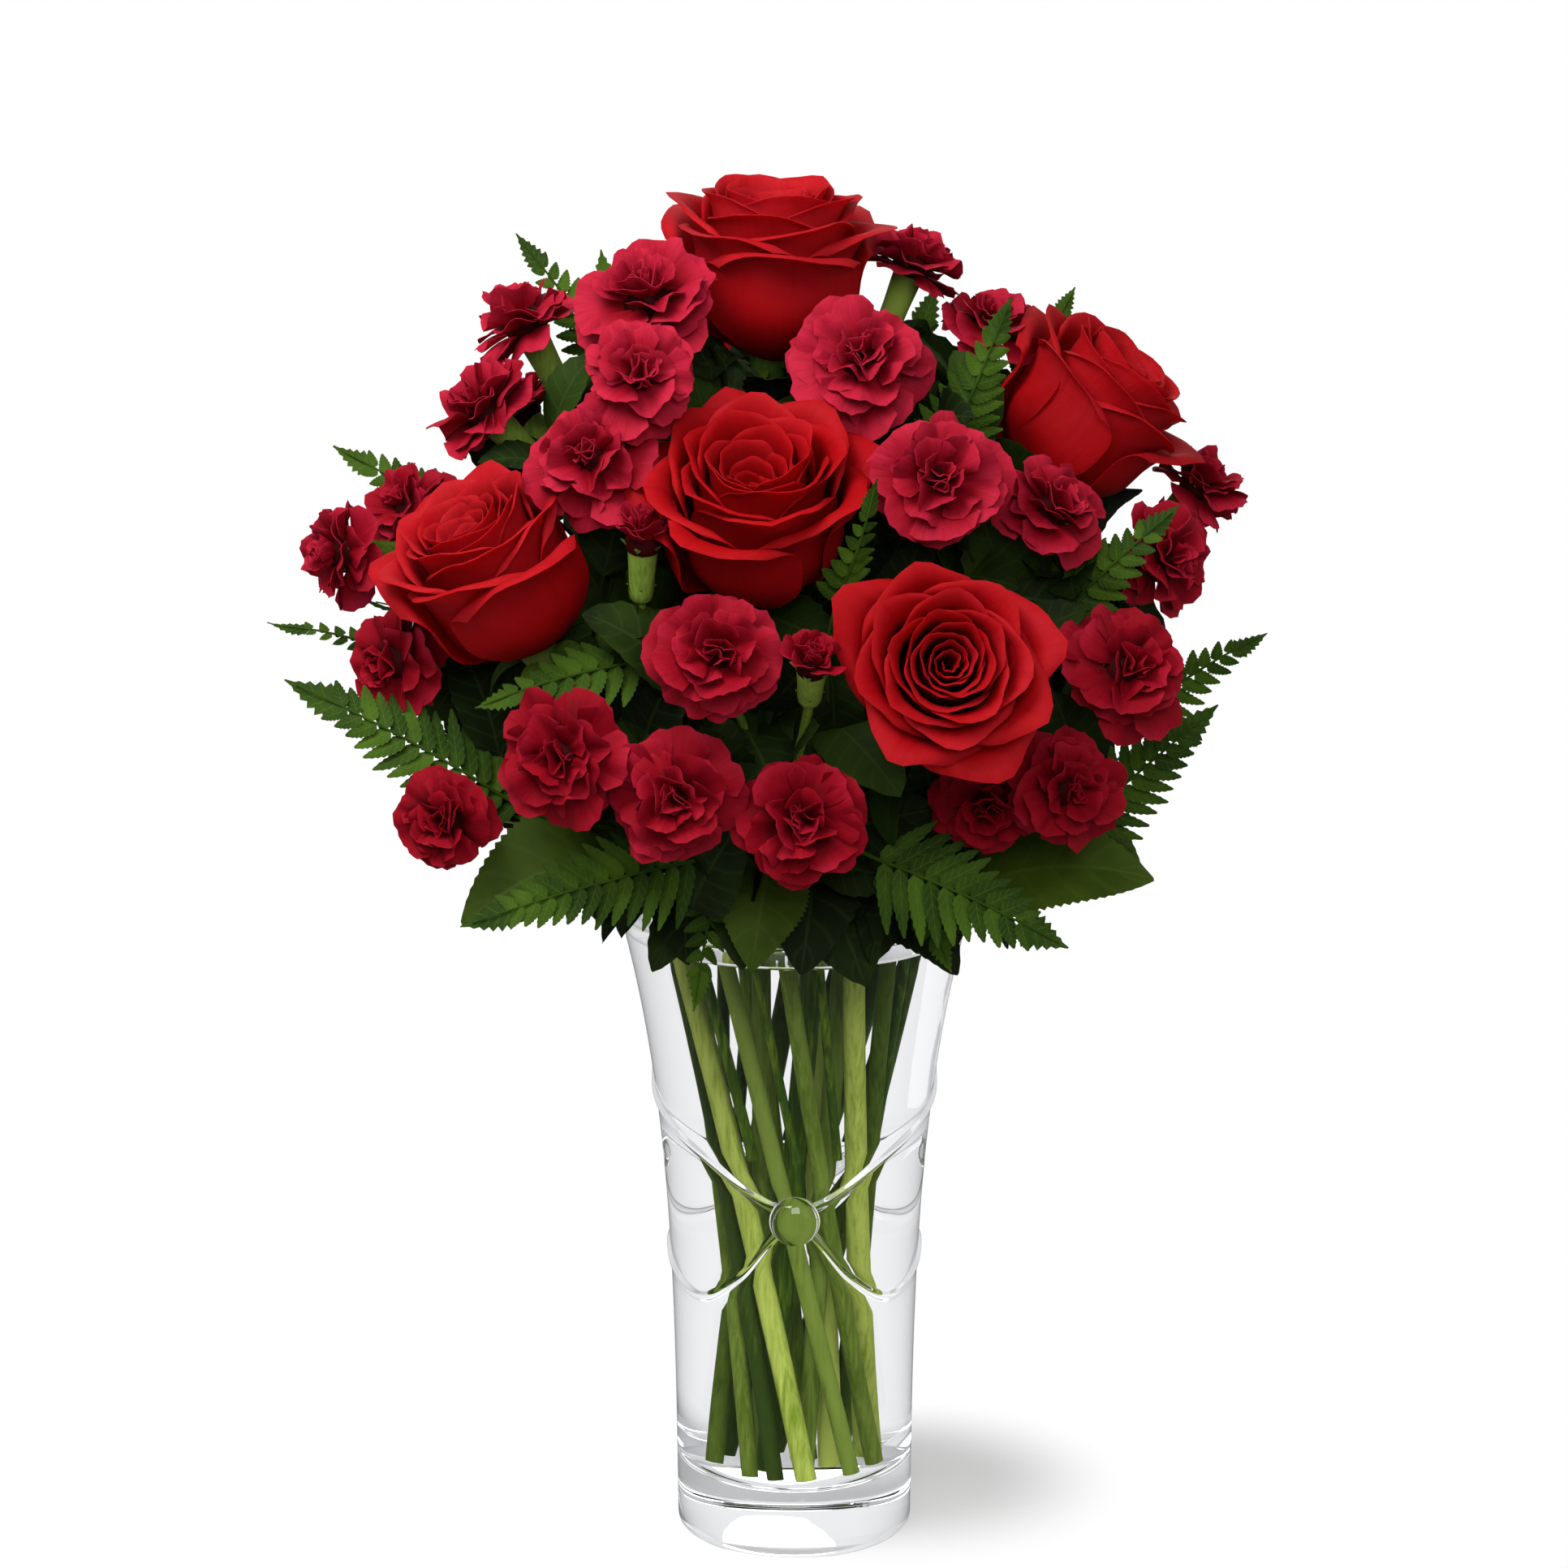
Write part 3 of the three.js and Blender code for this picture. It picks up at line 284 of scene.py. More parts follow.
# Leaf shapes: where the leaf is widest, how drawn out its ends are, teeth a side and their depth, arch, fold,
# side veins and their relief, thickness, points across, and the least number along
Leaf = namedtuple("Leaf", "belly ends teeth depth arch fold veins relief thickness cols rows")
SALAL_LEAF = Leaf(0.42, 0.8, 24, 0.07, 0.16, 0.16, 6, 0.45, 0.45, 9, 12)
ROSE_LEAF = Leaf(0.45, 0.6, 15, 0.07, 0.12, 0.2, 6, 0.35, 0.4, 5, 12)
RIM_LEAF = ROSE_LEAF._replace(arch=0.24)
INNER_LEAF = ROSE_LEAF._replace(teeth=7)
FERN_LEAFLET = Leaf(0.24, 0.58, 8, 0.17, -0.06, -0.12, 6, 0.12, 0.3, 3, 12)
FERN_TIP = Leaf(0.17, 0.92, 7, 0.32, -0.05, -0.14, 7, 0.12, 0.3, 3, 12)
SEPAL = Leaf(0.3, 0.85, 0, 0, 0.14, 0.5, 0, 0, 0.5, 5, 12)
CALYX_TOOTH = SEPAL._replace(rows=8)
BRACT = CALYX_TOOTH._replace(thickness=0.4)
LEAF_EDGE = 0.35
TOOTH_LEAN = 0.45
RIM_THIN = 0.3

# Ferns: the pitch of the leaflets, how far along they reach, and how the blade is filled
FERN_PITCH = 4.8
FERN_OPEN = 0.8
FERN_ARCH = 0.28
FERN_RIB = (0.8, 0.25)
FERN_RIB_POINTS = 12
FERN_LEAST = 3.6
FERN_REACH = (1.12, 0.98)
FERN_FIRST = 0.9
FERN_WIDE = (0.2, 0.8, 0.6)
FERN_END = (0.27, 0.6)
SALAL_STALK = (1.1, 0.7)
STALK_POINTS = 8

# Roses. Pairs go from the innermost petal to the outermost one.
ROSE_MIDDLE = 27
ROSE_WIDTH = 62
ROSE_PETALS = 30
ROSE_ROWS = 16
ROSE_COLS = 17
ROSE_SHEET = 0.5
ROSE_RADIUS = (1.9, 23.5)
ROSE_CLAW = (1.6, 4.8)
ROSE_LOW = (10, 0.8)
ROSE_TOP = 43.5
ROSE_RISE = 7.5
ROSE_FALL = 8.5
ROSE_LIP = (0.5, 9.5)
ROSE_WRAP = (150, 58)
ROSE_DROOP = (1.2, 7.0)
ROSE_SLANT = (0.7, 1.7)
ROSE_CURL = (0.5, 2.4)
ROSE_SWAY = (0.15, 1.0)
ROSE_WAVE = (0.3, 1.1)
ROSE_POINT = 2.8
ROSE_RIPPLE = 0.3
ROSE_HIP = [(3.1, -9), (3.7, -7), (4.6, -4.6), (5.1, -2.4), (5.4, -1), (5.0, 1.5), (2.5, 4)]
ROSE_NECK = 12
SEPALS = 5
SEPAL_HALF = 3.1
SEPAL_ROOT = (4.2, 1.5)
SEPAL_TIP = (19, 7, 12)
# How each rose has opened: turn of its petals, depth of its bowl, fold of its outer petals, and shade:
# painted light, lighter where more light falls
ROSE_LOOKS = {
    "rose_top": (0.4, 2.5, 1.1, 0.8),
    "rose_right": (1.9, 0, 0.85, 0.2),
    "rose_middle": (2.25, 8, 0.85, -0.8),
    "rose_left": (0.9, 3, 0.9, 0.6),
    "rose_front": (4.65, 1, 1.05, -0.2),
    "rose_back": (3.3, 2, 1.0, 0),
}

# Carnations, as shares of the head's radius
CARNATION_WHORLS = [
    # petals, height, core, reach, rise, bend, fan, pleat, crease
    (6, 0.06, 0.13, 0.98, 15, -38, 42, 0.1, 0.0),
    (6, 0.13, 0.12, 0.92, 26, -34, 40, 0.12, 0.1),
    (6, 0.2, 0.1, 0.82, 39, -28, 38, 0.14, 0.25),
    (5, 0.28, 0.07, 0.68, 56, -16, 36, 0.16, 0.5),
    (4, 0.35, 0.02, 0.5, 74, -4, 34, 0.16, 0.7),
]
CARNATION_MIDDLE = 0.42
CARNATION_ROWS = 8
CARNATION_COLS = 13
CARNATION_SHEET = 0.45
CARNATION_SPREAD = (1.65, 0.96)
CARNATION_CLAWS = [(-0.1, 0.2), (0.06, 0.36), (0.24, 0.38), (0.44, 0.2), (0.52, 0.04)]
HALF_OPEN = 0.6
SHUT_TURN = 62
STEEPEST = 86
NOTCH_DEPTH = 0.035
CORNER_CUT = 0.17
FOLD_LIMIT = 0.3
# Painted light on carnations: the height in mm where a head is drawn neither lighter nor darker, and the rise
# in mm for each step lighter
PAINTED_LIGHT_MIDDLE = 330
PAINTED_LIGHT_SPAN = 68
CALYX_LENGTH = 22
CALYX_RADIUS = 4.9
CALYX_WIDTH = 40
CALYX_SIZES = (0.88, 1.1)
CALYX_TUBE = [(0.55, -0.02), (0.78, 0.05), (0.86, 0.2), (0.9, 0.5), (1.0, 0.85), (1.03, 1.0), (0.8, 1.03)]
# Teeth and bracts: how many, where the first one is, kind, then share up the calyx and radius of root and tip
CALYX_LEAVES = [
    (5, 0.5, CALYX_TOOTH, (0.82, 0.96), (1.22, 1.5)),
    (4, 0, BRACT, (-0.02, 0.4), (0.32, 0.98)),
]

# Leaves low on the stems, which close the gaps between the heads as seen from several sides.
# Each view has its direction in degrees, layers, and how near and far the leaves are.
BUSH_MIDDLE = np.array([-4, -5, 296])
BUSH_REACH = np.array([122, 100, 104])
BUSH_FLOOR = 206
GAP_VIEWS = [(0, 2, -60, 45), (90, 1, -60, 45), (180, 1, -60, 45), (270, 1, -60, 45), (0, 2, -90, -10)]
GAP_LOOKS_DOWN = 0.27
GAP_STEP = 7
GAP_SPAN = 104
GAP_OVAL = (100, 86)
GAP_TRIES = 18
GAP_LENGTHS = (27, 42)
GAP_HALF = 0.3
GAP_COVER = 0.26
GAP_SPREADS_FROM = (0, 0, 230)
HEAD_SHARE = 0.86
HEAD_CLEAR = 1
LOOKS_AWAY = 0.3
RIM_LEAVES = 36
RIM_BASE = (26, 36, 218)
RIM_TIP = (63, 198)
RIM_STEP = 8
RIM_HALF = (0.27, 0.4)
LEAF_STALK = 0.6
LEAF_HANG = 6


# Vectors
def unit(v):
    v = np.asarray(v, float)
    return v / np.linalg.norm(v)


def mix(a, b, share):
    return a + (b - a) * share


def smooth(x, low, high):
    t = np.clip((x - low) / (high - low), 0, 1)
    return t * t * (3 - 2 * t)


def turn_to(axis):
    """The rotation that takes +Z to an axis, as rows."""
    return np.array(Vector((0, 0, 1)).rotation_difference(Vector(unit(axis))).to_matrix())


def turn_about(angle):
    c, s = math.cos(angle), math.sin(angle)
    return np.array([[c, -s, 0], [s, c, 0], [0, 0, 1]])


def level_way(angle):
    """A level direction, from 0 at the front of the bouquet."""
    return np.array([math.sin(angle), -math.cos(angle), 0])


def around(turn, count, start):
    """Directions all round an axis."""
    for k in range(count):
        angle = 2 * np.pi * (k + start) / count
        yield turn @ np.array([math.cos(angle), math.sin(angle), 0])


def bezier(start, leaving, end, arriving, steps):
    reach = np.linalg.norm(end - start) * 0.36
    a, b, c, d = start, start + leaving * reach, end - arriving * reach, end
    t = np.linspace(0, 1, steps + 1)[:, None]
    return (1 - t) ** 3 * a + 3 * t * (1 - t) ** 2 * b + 3 * t * t * (1 - t) * c + t**3 * d


# Meshes: a piece gathers points, faces and three numbers for each point, which its material reads.
class Gather:
    def __init__(self):
        self.points, self.values, self.faces, self.count = [], [], [], 0

    def add(self, points, faces, along, across, tone):
        points = np.asarray(points, float).reshape(-1, 3)
        values = np.empty((len(points), 3))
        for i, value in enumerate((along, across, tone)):
            values[:, i] = np.ravel(value)
        self.faces += [[i + self.count for i in face] for face in faces]
        self.points.append(points)
        self.values.append(values)
        self.count += len(points)

    def piece(self, name, material, slot, replaced=(), sharp=50):
        thing = add_mesh(name, np.concatenate(self.points) * MM, self.faces, material)
        values = np.concatenate(self.values).astype(np.float32)
        for i, word in enumerate(("along", "across", "tone")):
            thing.data.attributes.new(word, "FLOAT", "POINT").data.foreach_set("value", values[:, i].copy())
        soften(thing.data, sharp)
        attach(thing, "root")
        if replaced:
            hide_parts(*replaced)
        return thing


def add_mesh(name, points, faces, material):
    mesh = bpy.data.meshes.new(name)
    mesh.from_pydata(np.asarray(points).tolist(), [], faces)
    mesh.update()
    mesh.materials.append(material)
    thing = bpy.data.objects.new(name, mesh)
    bpy.context.scene.collection.objects.link(thing)
    return thing


def soften(mesh, sharp):
    mesh.shade_smooth()
    mesh.set_sharp_from_angle(angle=math.radians(sharp))


def grid_faces(rows, cols, start=0, turned=False, closed=False):
    """Quads of a grid of points. A closed grid joins its last column to its first."""
    index = start + np.arange(rows * cols).reshape(rows, cols)
    if closed:
        index = np.concatenate([index, index[:, :1]], axis=1)
    a, b, c, d = index[:-1, :-1], index[:-1, 1:], index[1:, 1:], index[1:, :-1]
    order = (d, c, b, a) if turned else (a, b, c, d)
    return np.stack([x.ravel() for x in order], axis=1).tolist()


def barrel_faces(rows, cols):
    """Faces of a closed grid with a fan at each end, about two more points."""
    count, last = rows * cols, (rows - 1) * cols
    faces = grid_faces(rows, cols, closed=True)
    for a in range(cols):
        b = (a + 1) % cols
        faces += [[b, a, count], [last + a, last + b, count + 1]]
    return faces


def turned_solid(rings, sides, tone):
    """A solid about the Z axis. Each ring is a radius and a height, one for all sides or one for each."""
    turns = np.arange(sides) * 2 * np.pi / sides
    grid = [np.stack([r * np.sin(turns), -r * np.cos(turns), z + 0 * turns], axis=1) for r, z in rings]
    last = (len(rings) - 1) * sides
    faces = grid_faces(len(rings), sides, closed=True)
    faces += [list(range(sides))[::-1], [last + i for i in range(sides)]]
    gather = Gather()
    gather.add(grid, faces, 0, 0, tone)
    return gather


def add_shell(gather, grid, thickness, tone, along=None, across=None):
    """A closed thin sheet about a grid of points, thinner at its rim."""
    rows, cols = grid.shape[:2]
    normal = np.cross(np.gradient(grid, axis=1), np.gradient(grid, axis=0))
    normal /= np.linalg.norm(normal, axis=2, keepdims=True) + TINY
    half = np.full((rows, cols, 1), thickness / 2)
    for rim in (half[0], half[-1], half[:, 0], half[:, -1]):
        rim *= RIM_THIN
    count = rows * cols
    index = np.arange(count).reshape(rows, cols)
    rim = np.concatenate([index[0, :-1], index[:-1, -1], index[-1, :0:-1], index[:0:-1, 0]])
    after = np.roll(rim, -1)
    faces = grid_faces(rows, cols) + grid_faces(rows, cols, count, turned=True)
    faces += np.stack([after, rim, rim + count, after + count], axis=1).tolist()
    if along is None:
        along, across = np.meshgrid(np.linspace(0, 1, rows), np.linspace(-1, 1, cols), indexing="ij")
    both = np.concatenate([(grid + normal * half).reshape(-1, 3), (grid - normal * half).reshape(-1, 3)])
    gather.add(both, faces, np.tile(np.ravel(along), 2), np.tile(np.ravel(across), 2), tone)


def add_tube(gather, path, radii, sides=STEM_SIDES, tone=0.0, along=None):
    """A closed round bar along a path, with a radius at each point."""
    path = np.asarray(path, float)
    radii = np.broadcast_to(np.asarray(radii, float), len(path))
    ahead = np.gradient(path, axis=0)
    ahead /= np.linalg.norm(ahead, axis=1, keepdims=True) + TINY
    side = np.array([0.0, 1.0, 0.0]) if abs(ahead[0][0]) > 0.9 else np.array([1.0, 0.0, 0.0])
    angles = np.linspace(0, 2 * np.pi, sides, endpoint=False)
    c, s = np.cos(angles)[:, None], np.sin(angles)[:, None]
    rings = []
    for p, r, t in zip(path, radii, ahead):
        side = unit(side - t * side.dot(t))
        rings.append(p + r * (c * side + s * np.cross(t, side)))
    if along is None:
        lengths = np.concatenate([[0], np.cumsum(np.linalg.norm(np.diff(path, axis=0), axis=1))])
        along = np.concatenate([np.repeat(lengths, sides), lengths[[0, -1]]])
    across = np.concatenate([np.tile(np.cos(angles), len(path)), [0, 0]])
    gather.add(np.concatenate([*rings, path[[0, -1]]]), barrel_faces(len(path), sides), along, across, tone)


# Materials
class Shader:
    """A material, or a world, as nodes."""

    def __init__(self, name, world=False):
        self.material = (bpy.data.worlds if world else bpy.data.materials).new(name)
        self.material.use_nodes = True
        self.tree = self.material.node_tree
        self.tree.nodes.clear()
        self.output = self.tree.nodes.new("ShaderNodeOutputWorld" if world else "ShaderNodeOutputMaterial")

    def node(self, kind, settings=None, **inputs):
        made = self.tree.nodes.new("ShaderNode" + kind)
        for key, value in (settings or {}).items():
            setattr(made, key, value)
        for key, value in inputs.items():
            self.put(made.inputs[key.replace("_", " ")], value)
        return made

    def put(self, socket, value):
        if isinstance(value, bpy.types.NodeSocket):
            self.tree.links.new(value, socket)
        else:
            socket.default_value = value

    def read(self, *words):
        return [self.node("Attribute", {"attribute_name": word}).outputs["Fac"] for word in words]

    def where(self, output="Object"):
        return self.node("TexCoord").outputs[output]

    def math(self, operation, *values, kind="Math", output=0):
        made = self.node(kind, {"operation": operation})
        for i, value in enumerate(values):
            self.put(made.inputs[i], value)
        return made.outputs[output]

    def weigh(self, values, weights):
        """The sum of values, each times its weight."""
        parts = [self.math("MULTIPLY", value, weight) for value, weight in zip(values, weights)]
        total = parts[0]
        for part in parts[1:]:
            total = self.math("ADD", total, part)
        return total

    def span(self, value, before=(0, 1), after=(0, 1), kind="LINEAR"):
        """A value taken from one range to another."""
        made = self.node("MapRange", {"interpolation_type": kind}, Value=value)
        for words, ends in (("From", before), ("To", after)):
            for word, end in zip(("Min", "Max"), ends):
                made.inputs[words + " " + word].default_value = end
        return made.outputs[0]

    def place(self, x, y, z):
        return self.node("CombineXYZ", X=x, Y=y, Z=z).outputs[0]

    def apart(self, vector):
        return self.node("SeparateXYZ", Vector=vector).outputs

    def noise(self, vector, scale, detail=3.0, roughness=0.55):
        made = self.node("TexNoise", Vector=vector, Scale=scale, Detail=detail, Roughness=roughness)
        return made.outputs["Fac"]

    def ramp(self, value, levels, colours):
        made = self.node("ValToRGB", Fac=value)
        made.color_ramp.interpolation = "EASE"
        while len(made.color_ramp.elements) < len(levels):
            made.color_ramp.elements.new(0.5)
        for element, at, colour in zip(made.color_ramp.elements, levels, colours):
            element.position = at
            element.color = (*colour, 1)
        return made.outputs["Color"]

    def blend(self, share, a, b):
        made = self.node("Mix", {"data_type": "RGBA"})
        for i, value in ((0, share), (6, a), (7, b)):
            self.put(made.inputs[i], (*value, 1) if isinstance(value, tuple) else value)
        return made.outputs[2]

    def bump(self, height, strength, distance):
        return self.node("Bump", Height=height, Strength=strength, Distance=distance).outputs[0]

    def either(self, share, a, b):
        made = self.node("MixShader", Fac=share)
        self.tree.links.new(a, made.inputs[1])
        self.tree.links.new(b, made.inputs[2])
        return made.outputs[0]

    def surface(self, shader):
        self.tree.links.new(shader, self.output.inputs["Surface"])
        return self.material

    def skin(self, colour, uneven, roughness, gloss, normal, through=None, share=0.0):
        """The finished surface of a plant, which may let some light through."""
        skin = self.node(
            "BsdfPrincipled",
            Base_Color=colour,
            Roughness=self.math("ADD", self.math("MULTIPLY", uneven, ROUGHNESS_SPREAD), roughness),
            Specular_IOR_Level=gloss,
            Normal=normal,
        ).outputs[0]
        if through:
            behind = self.blend(0.5, colour, through)
            back = self.node("BsdfTranslucent", Color=behind, Normal=normal).outputs[0]
            skin = self.either(share, skin, back)
        return self.surface(skin)


def petal_material(name, deep, body, painted_highlight, through, share, roughness, gloss, vein, crepe):
    """Petals: painted shade towards the claw and a painted highlight at the rim, with fine veins and light
    that passes through.
    """
    s = Shader(name)
    along, across, tone = s.read("along", "across", "tone")
    stretches = ((across, vein), (along, 1.6), (tone, 9.0))
    stretched = [s.math("MULTIPLY", value, scale) for value, scale in stretches]
    veins = s.noise(s.place(*stretched), 1.0, 4.0, 0.6)
    where = s.where()
    cloud = s.noise(where, PETAL_CLOUD, 2.0)
    grain = s.noise(where, crepe, 3.0, 0.7)
    # Painted shade at the claw end and a painted highlight at the rim end, set by the along value
    colour = s.ramp(s.weigh((along, cloud, tone), PETAL_MIX), PETAL_LEVELS, (deep, body, painted_highlight))
    veined = s.ramp(veins, PETAL_VEIN_LEVELS, ((0,) * 3, (PETAL_VEIN_SHARE,) * 3))
    normal = s.bump(s.weigh((veins, grain), PETAL_RELIEF), *PETAL_BUMP)
    return s.skin(s.blend(veined, colour, deep), grain, roughness, gloss, normal, through, share)


def leaf_material(name, deep, body, rib, through, share, roughness, veins, lines):
    """Leaves: a pale rib and side veins, with cloudy green between them."""
    s = Shader(name)
    along, across, tone = s.read("along", "across", "tone")
    where = s.where()
    cloud = s.noise(where, LEAF_CLOUD, 3.0)
    grain = s.noise(where, LEAF_GRAIN, 3.0, 0.7)
    colour = s.ramp(s.weigh((cloud, tone), LEAF_MIX), LEAF_LEVELS, (deep, body))
    aside = s.math("ABSOLUTE", across)
    wave = s.math("COSINE", s.weigh((along, aside), (veins * math.pi, -LEAF_VEIN_SLANT * math.pi)))
    side_vein = s.math("POWER", s.math("ABSOLUTE", wave), LEAF_VEIN_POWER)
    middle = s.math("SUBTRACT", 1.0, s.math("MINIMUM", s.math("MULTIPLY", aside, LEAF_RIB_WIDTH), 1.0))
    parts = [s.math("MULTIPLY", part, weight) for part, weight in zip((side_vein, middle), LEAF_LINES)]
    line = s.math("MAXIMUM", *parts)
    ribbed = s.blend(s.math("MULTIPLY", line, lines), colour, rib)
    normal = s.bump(s.weigh((grain, line), LEAF_RELIEF), *LEAF_BUMP)
    return s.skin(ribbed, cloud, roughness, LEAF_GLOSS, normal, through, share)


def stem_material(name, deep, body, pale, roughness, shade):
    """Stems: long soft streaks and cloudy patches. Above the vase they are a darker green, painted shade for
    the inside of the bouquet.
    """
    s = Shader(name)
    where = s.where()
    x, y, z = s.apart(where)
    streak = s.noise(s.place(x, y, s.math("MULTIPLY", z, STEM_STRETCH)), STEM_STREAK, 3.0, 0.6)
    cloud = s.noise(where, STEM_CLOUD, 2.0)
    grain = s.noise(where, STEM_GRAIN, 2.0, 0.6)
    colour = s.ramp(s.weigh((streak, cloud, *s.read("tone")), STEM_MIX), STEM_LEVELS, (deep, body, pale))
    # Painted shade above the vase, as strong as the material's shade
    colour = s.blend(s.math("MULTIPLY", s.span(z, STEM_SHADE_HEIGHTS), shade), colour, STEM_PAINTED_SHADE)
    normal = s.bump(s.weigh((streak, grain), STEM_RELIEF), *STEM_BUMP)
    return s.skin(colour, grain, roughness, STEM_GLOSS, normal)


def clear_material(name, tint, ior, unevenness, passing):
    """Glass or water. It mirrors only where its tone is 1, not where the two meet, and lets lamps through."""
    s = Shader(name)
    normal = s.bump(s.noise(s.where(), CLEAR_SWELL, 2.0, 0.4), CLEAR_BUMP, unevenness)
    bent = s.node("BsdfRefraction", Color=(*tint, 1), Roughness=0.0, IOR=ior, Normal=normal).outputs[0]
    mirrored = s.node("BsdfGlossy", Color=(1, 1, 1, 1), Roughness=0.0, Normal=normal).outputs[0]
    facing = s.node("Fresnel", IOR=ior, Normal=normal).outputs[0]
    share = s.math("MULTIPLY", facing, *s.read("tone"))
    share = s.math("MAXIMUM", share, s.math("GREATER_THAN", facing, ALL_MIRRORED))
    ray = s.node("LightPath").outputs
    turned = s.math("GREATER_THAN", ray["Glossy Depth"], MOST_MIRRORED)
    deep = s.math("MAXIMUM", turned, s.math("GREATER_THAN", ray["Ray Depth"], MOST_BENT))
    greys = [(grey, grey, grey, 1) for grey in (CLEAR_STRAIGHT, passing)]
    straight, to_lamps = [s.node("BsdfTransparent", Color=grey).outputs[0] for grey in greys]
    body = s.either(deep, s.either(share, bent, mirrored), straight)
    return s, s.surface(s.either(ray["Is Shadow Ray"], body, to_lamps))


# Each petal material: painted shade at the claw, body colour, painted highlight at the rim, then the colour
# of light through it
ROSE_RED = petal_material(
    "rose_petals", (0.26, 0.0006, 0.0012), (0.4, 0.002, 0.0045), (0.47, 0.009, 0.016), (0.85, 0.008, 0.012),
    share=0.4, roughness=0.55, gloss=0.1, vein=14.0, crepe=1500.0,
)
CARNATION_RED = petal_material(
    "carnation_petals", (0.03, 0.0002, 0.001), (0.24, 0.0012, 0.0085), (0.4, 0.011, 0.034),
    through=(0.7, 0.004, 0.03), share=0.14, roughness=0.6, gloss=0.08, vein=12.0, crepe=1900.0,
)
# shade is how much painted shade the stems take above the vase
STEM_GREEN = stem_material(
    "stem_skin", (0.035, 0.085, 0.002), (0.22, 0.34, 0.018), (0.6, 0.72, 0.14), roughness=0.5, shade=0.85,
)
CALYX_GREEN = stem_material(
    "calyx_skin", (0.03, 0.06, 0.003), (0.1, 0.165, 0.012), (0.24, 0.34, 0.05), roughness=0.55, shade=0.25,
)
FERN_GREEN = leaf_material(
    "fern_fronds", (0.016, 0.042, 0.002), (0.058, 0.12, 0.006), (0.11, 0.18, 0.02), (0.2, 0.4, 0.02),
    share=0.2, roughness=0.6, veins=6, lines=0.7,
)
SALAL_GREEN = leaf_material(
    "salal_leaves", (0.016, 0.033, 0.001), (0.05, 0.085, 0.005), (0.1, 0.15, 0.03), (0.1, 0.2, 0.01),
    share=0.08, roughness=0.55, veins=6, lines=0.4,
)
# Rose leaves in the bush and over the rim: their own dark green, made darker still as painted shade for the
# inside of the bouquet
ROSE_LEAF_SHADED_GREEN = leaf_material(
    "rose_leaves", (0.004, 0.01, 0.0008), (0.018, 0.038, 0.002), (0.04, 0.07, 0.01), (0.05, 0.11, 0.006),
    share=0.05, roughness=0.6, veins=7, lines=0.5,
)
glass, GLASS = clear_material("clear_glass", (0.987, 0.988, 0.991), 1.5, 0.0008, 0.93)
haze = glass.node("VolumeAbsorption", Color=GLASS_HAZE, Density=GLASS_HAZE_DENSITY).outputs[0]
glass.tree.links.new(haze, glass.output.inputs["Volume"])
WATER = clear_material("still_water", (0.99, 0.991, 0.993), 1.33, 0.0004, 0.97)[1]


# Camera, lights and floor
def add_aimed(name, data, at, aim):
    """A camera or a lamp that looks from one point to another."""
    thing = bpy.data.objects.new(name, data)
    thing.location = at
    thing.rotation_mode = "QUATERNION"
    thing.rotation_quaternion = (Vector(aim) - Vector(at)).to_track_quat("-Z", "Y")
    bpy.context.scene.collection.objects.link(thing)
    return thing


def add_camera():
    data = bpy.data.cameras.new("camera")
    data.sensor_width = CAMERA_SENSOR
    data.lens = CAMERA_LENS
    data.clip_end = CAMERA_REACH
    bpy.context.scene.camera = add_aimed("camera", data, Vector(CAMERA_AT) * MM, Vector(CAMERA_AIM) * MM)


def add_lamp(name, at, aim, width, height, power, shape):
    data = bpy.data.lights.new(name, "AREA")
    data.shape = shape
    data.size, data.size_y = width, height
    data.energy = power
    add_aimed(name, data, at, aim).visible_camera = False


def seen_straight(s, ray):
    """1 for what the camera sees, by itself or through glass, and 0 for light on its way round the scene."""
    through = s.math("GREATER_THAN", ray["Transmission Depth"], 0.5)
    clear = s.math("MULTIPLY", through, s.math("LESS_THAN", ray["Diffuse Depth"], 0.5))
    return s.math("MAXIMUM", ray["Is Camera Ray"], clear)


def whiteness(s, ray, place):
    """White for the camera, and through glass a little greyer to both sides."""
    flat = s.math("MULTIPLY", place, (1, 1, 0), kind="VectorMath")
    level = s.math("NORMALIZE", flat, kind="VectorMath")
    ahead = s.math("ABSOLUTE", s.apart(level)[1])
    return s.math("MAXIMUM", ray["Is Camera Ray"], s.span(ahead, SIDE_SPAN, (SIDE_GREY, 1)))


def add_world():
    s = Shader("studio", world=True)
    ray = s.node("LightPath").outputs
    white = whiteness(s, ray, s.where("Generated"))
    around = s.span(ray["Is Glossy Ray"], after=WORLD_LIGHT)
    strength = s.math("MAXIMUM", s.math("MULTIPLY", seen_straight(s, ray), white), around)
    s.surface(s.node("Background", Color=(1, 1, 1, 1), Strength=strength).outputs[0])
    bpy.context.scene.world = s.material


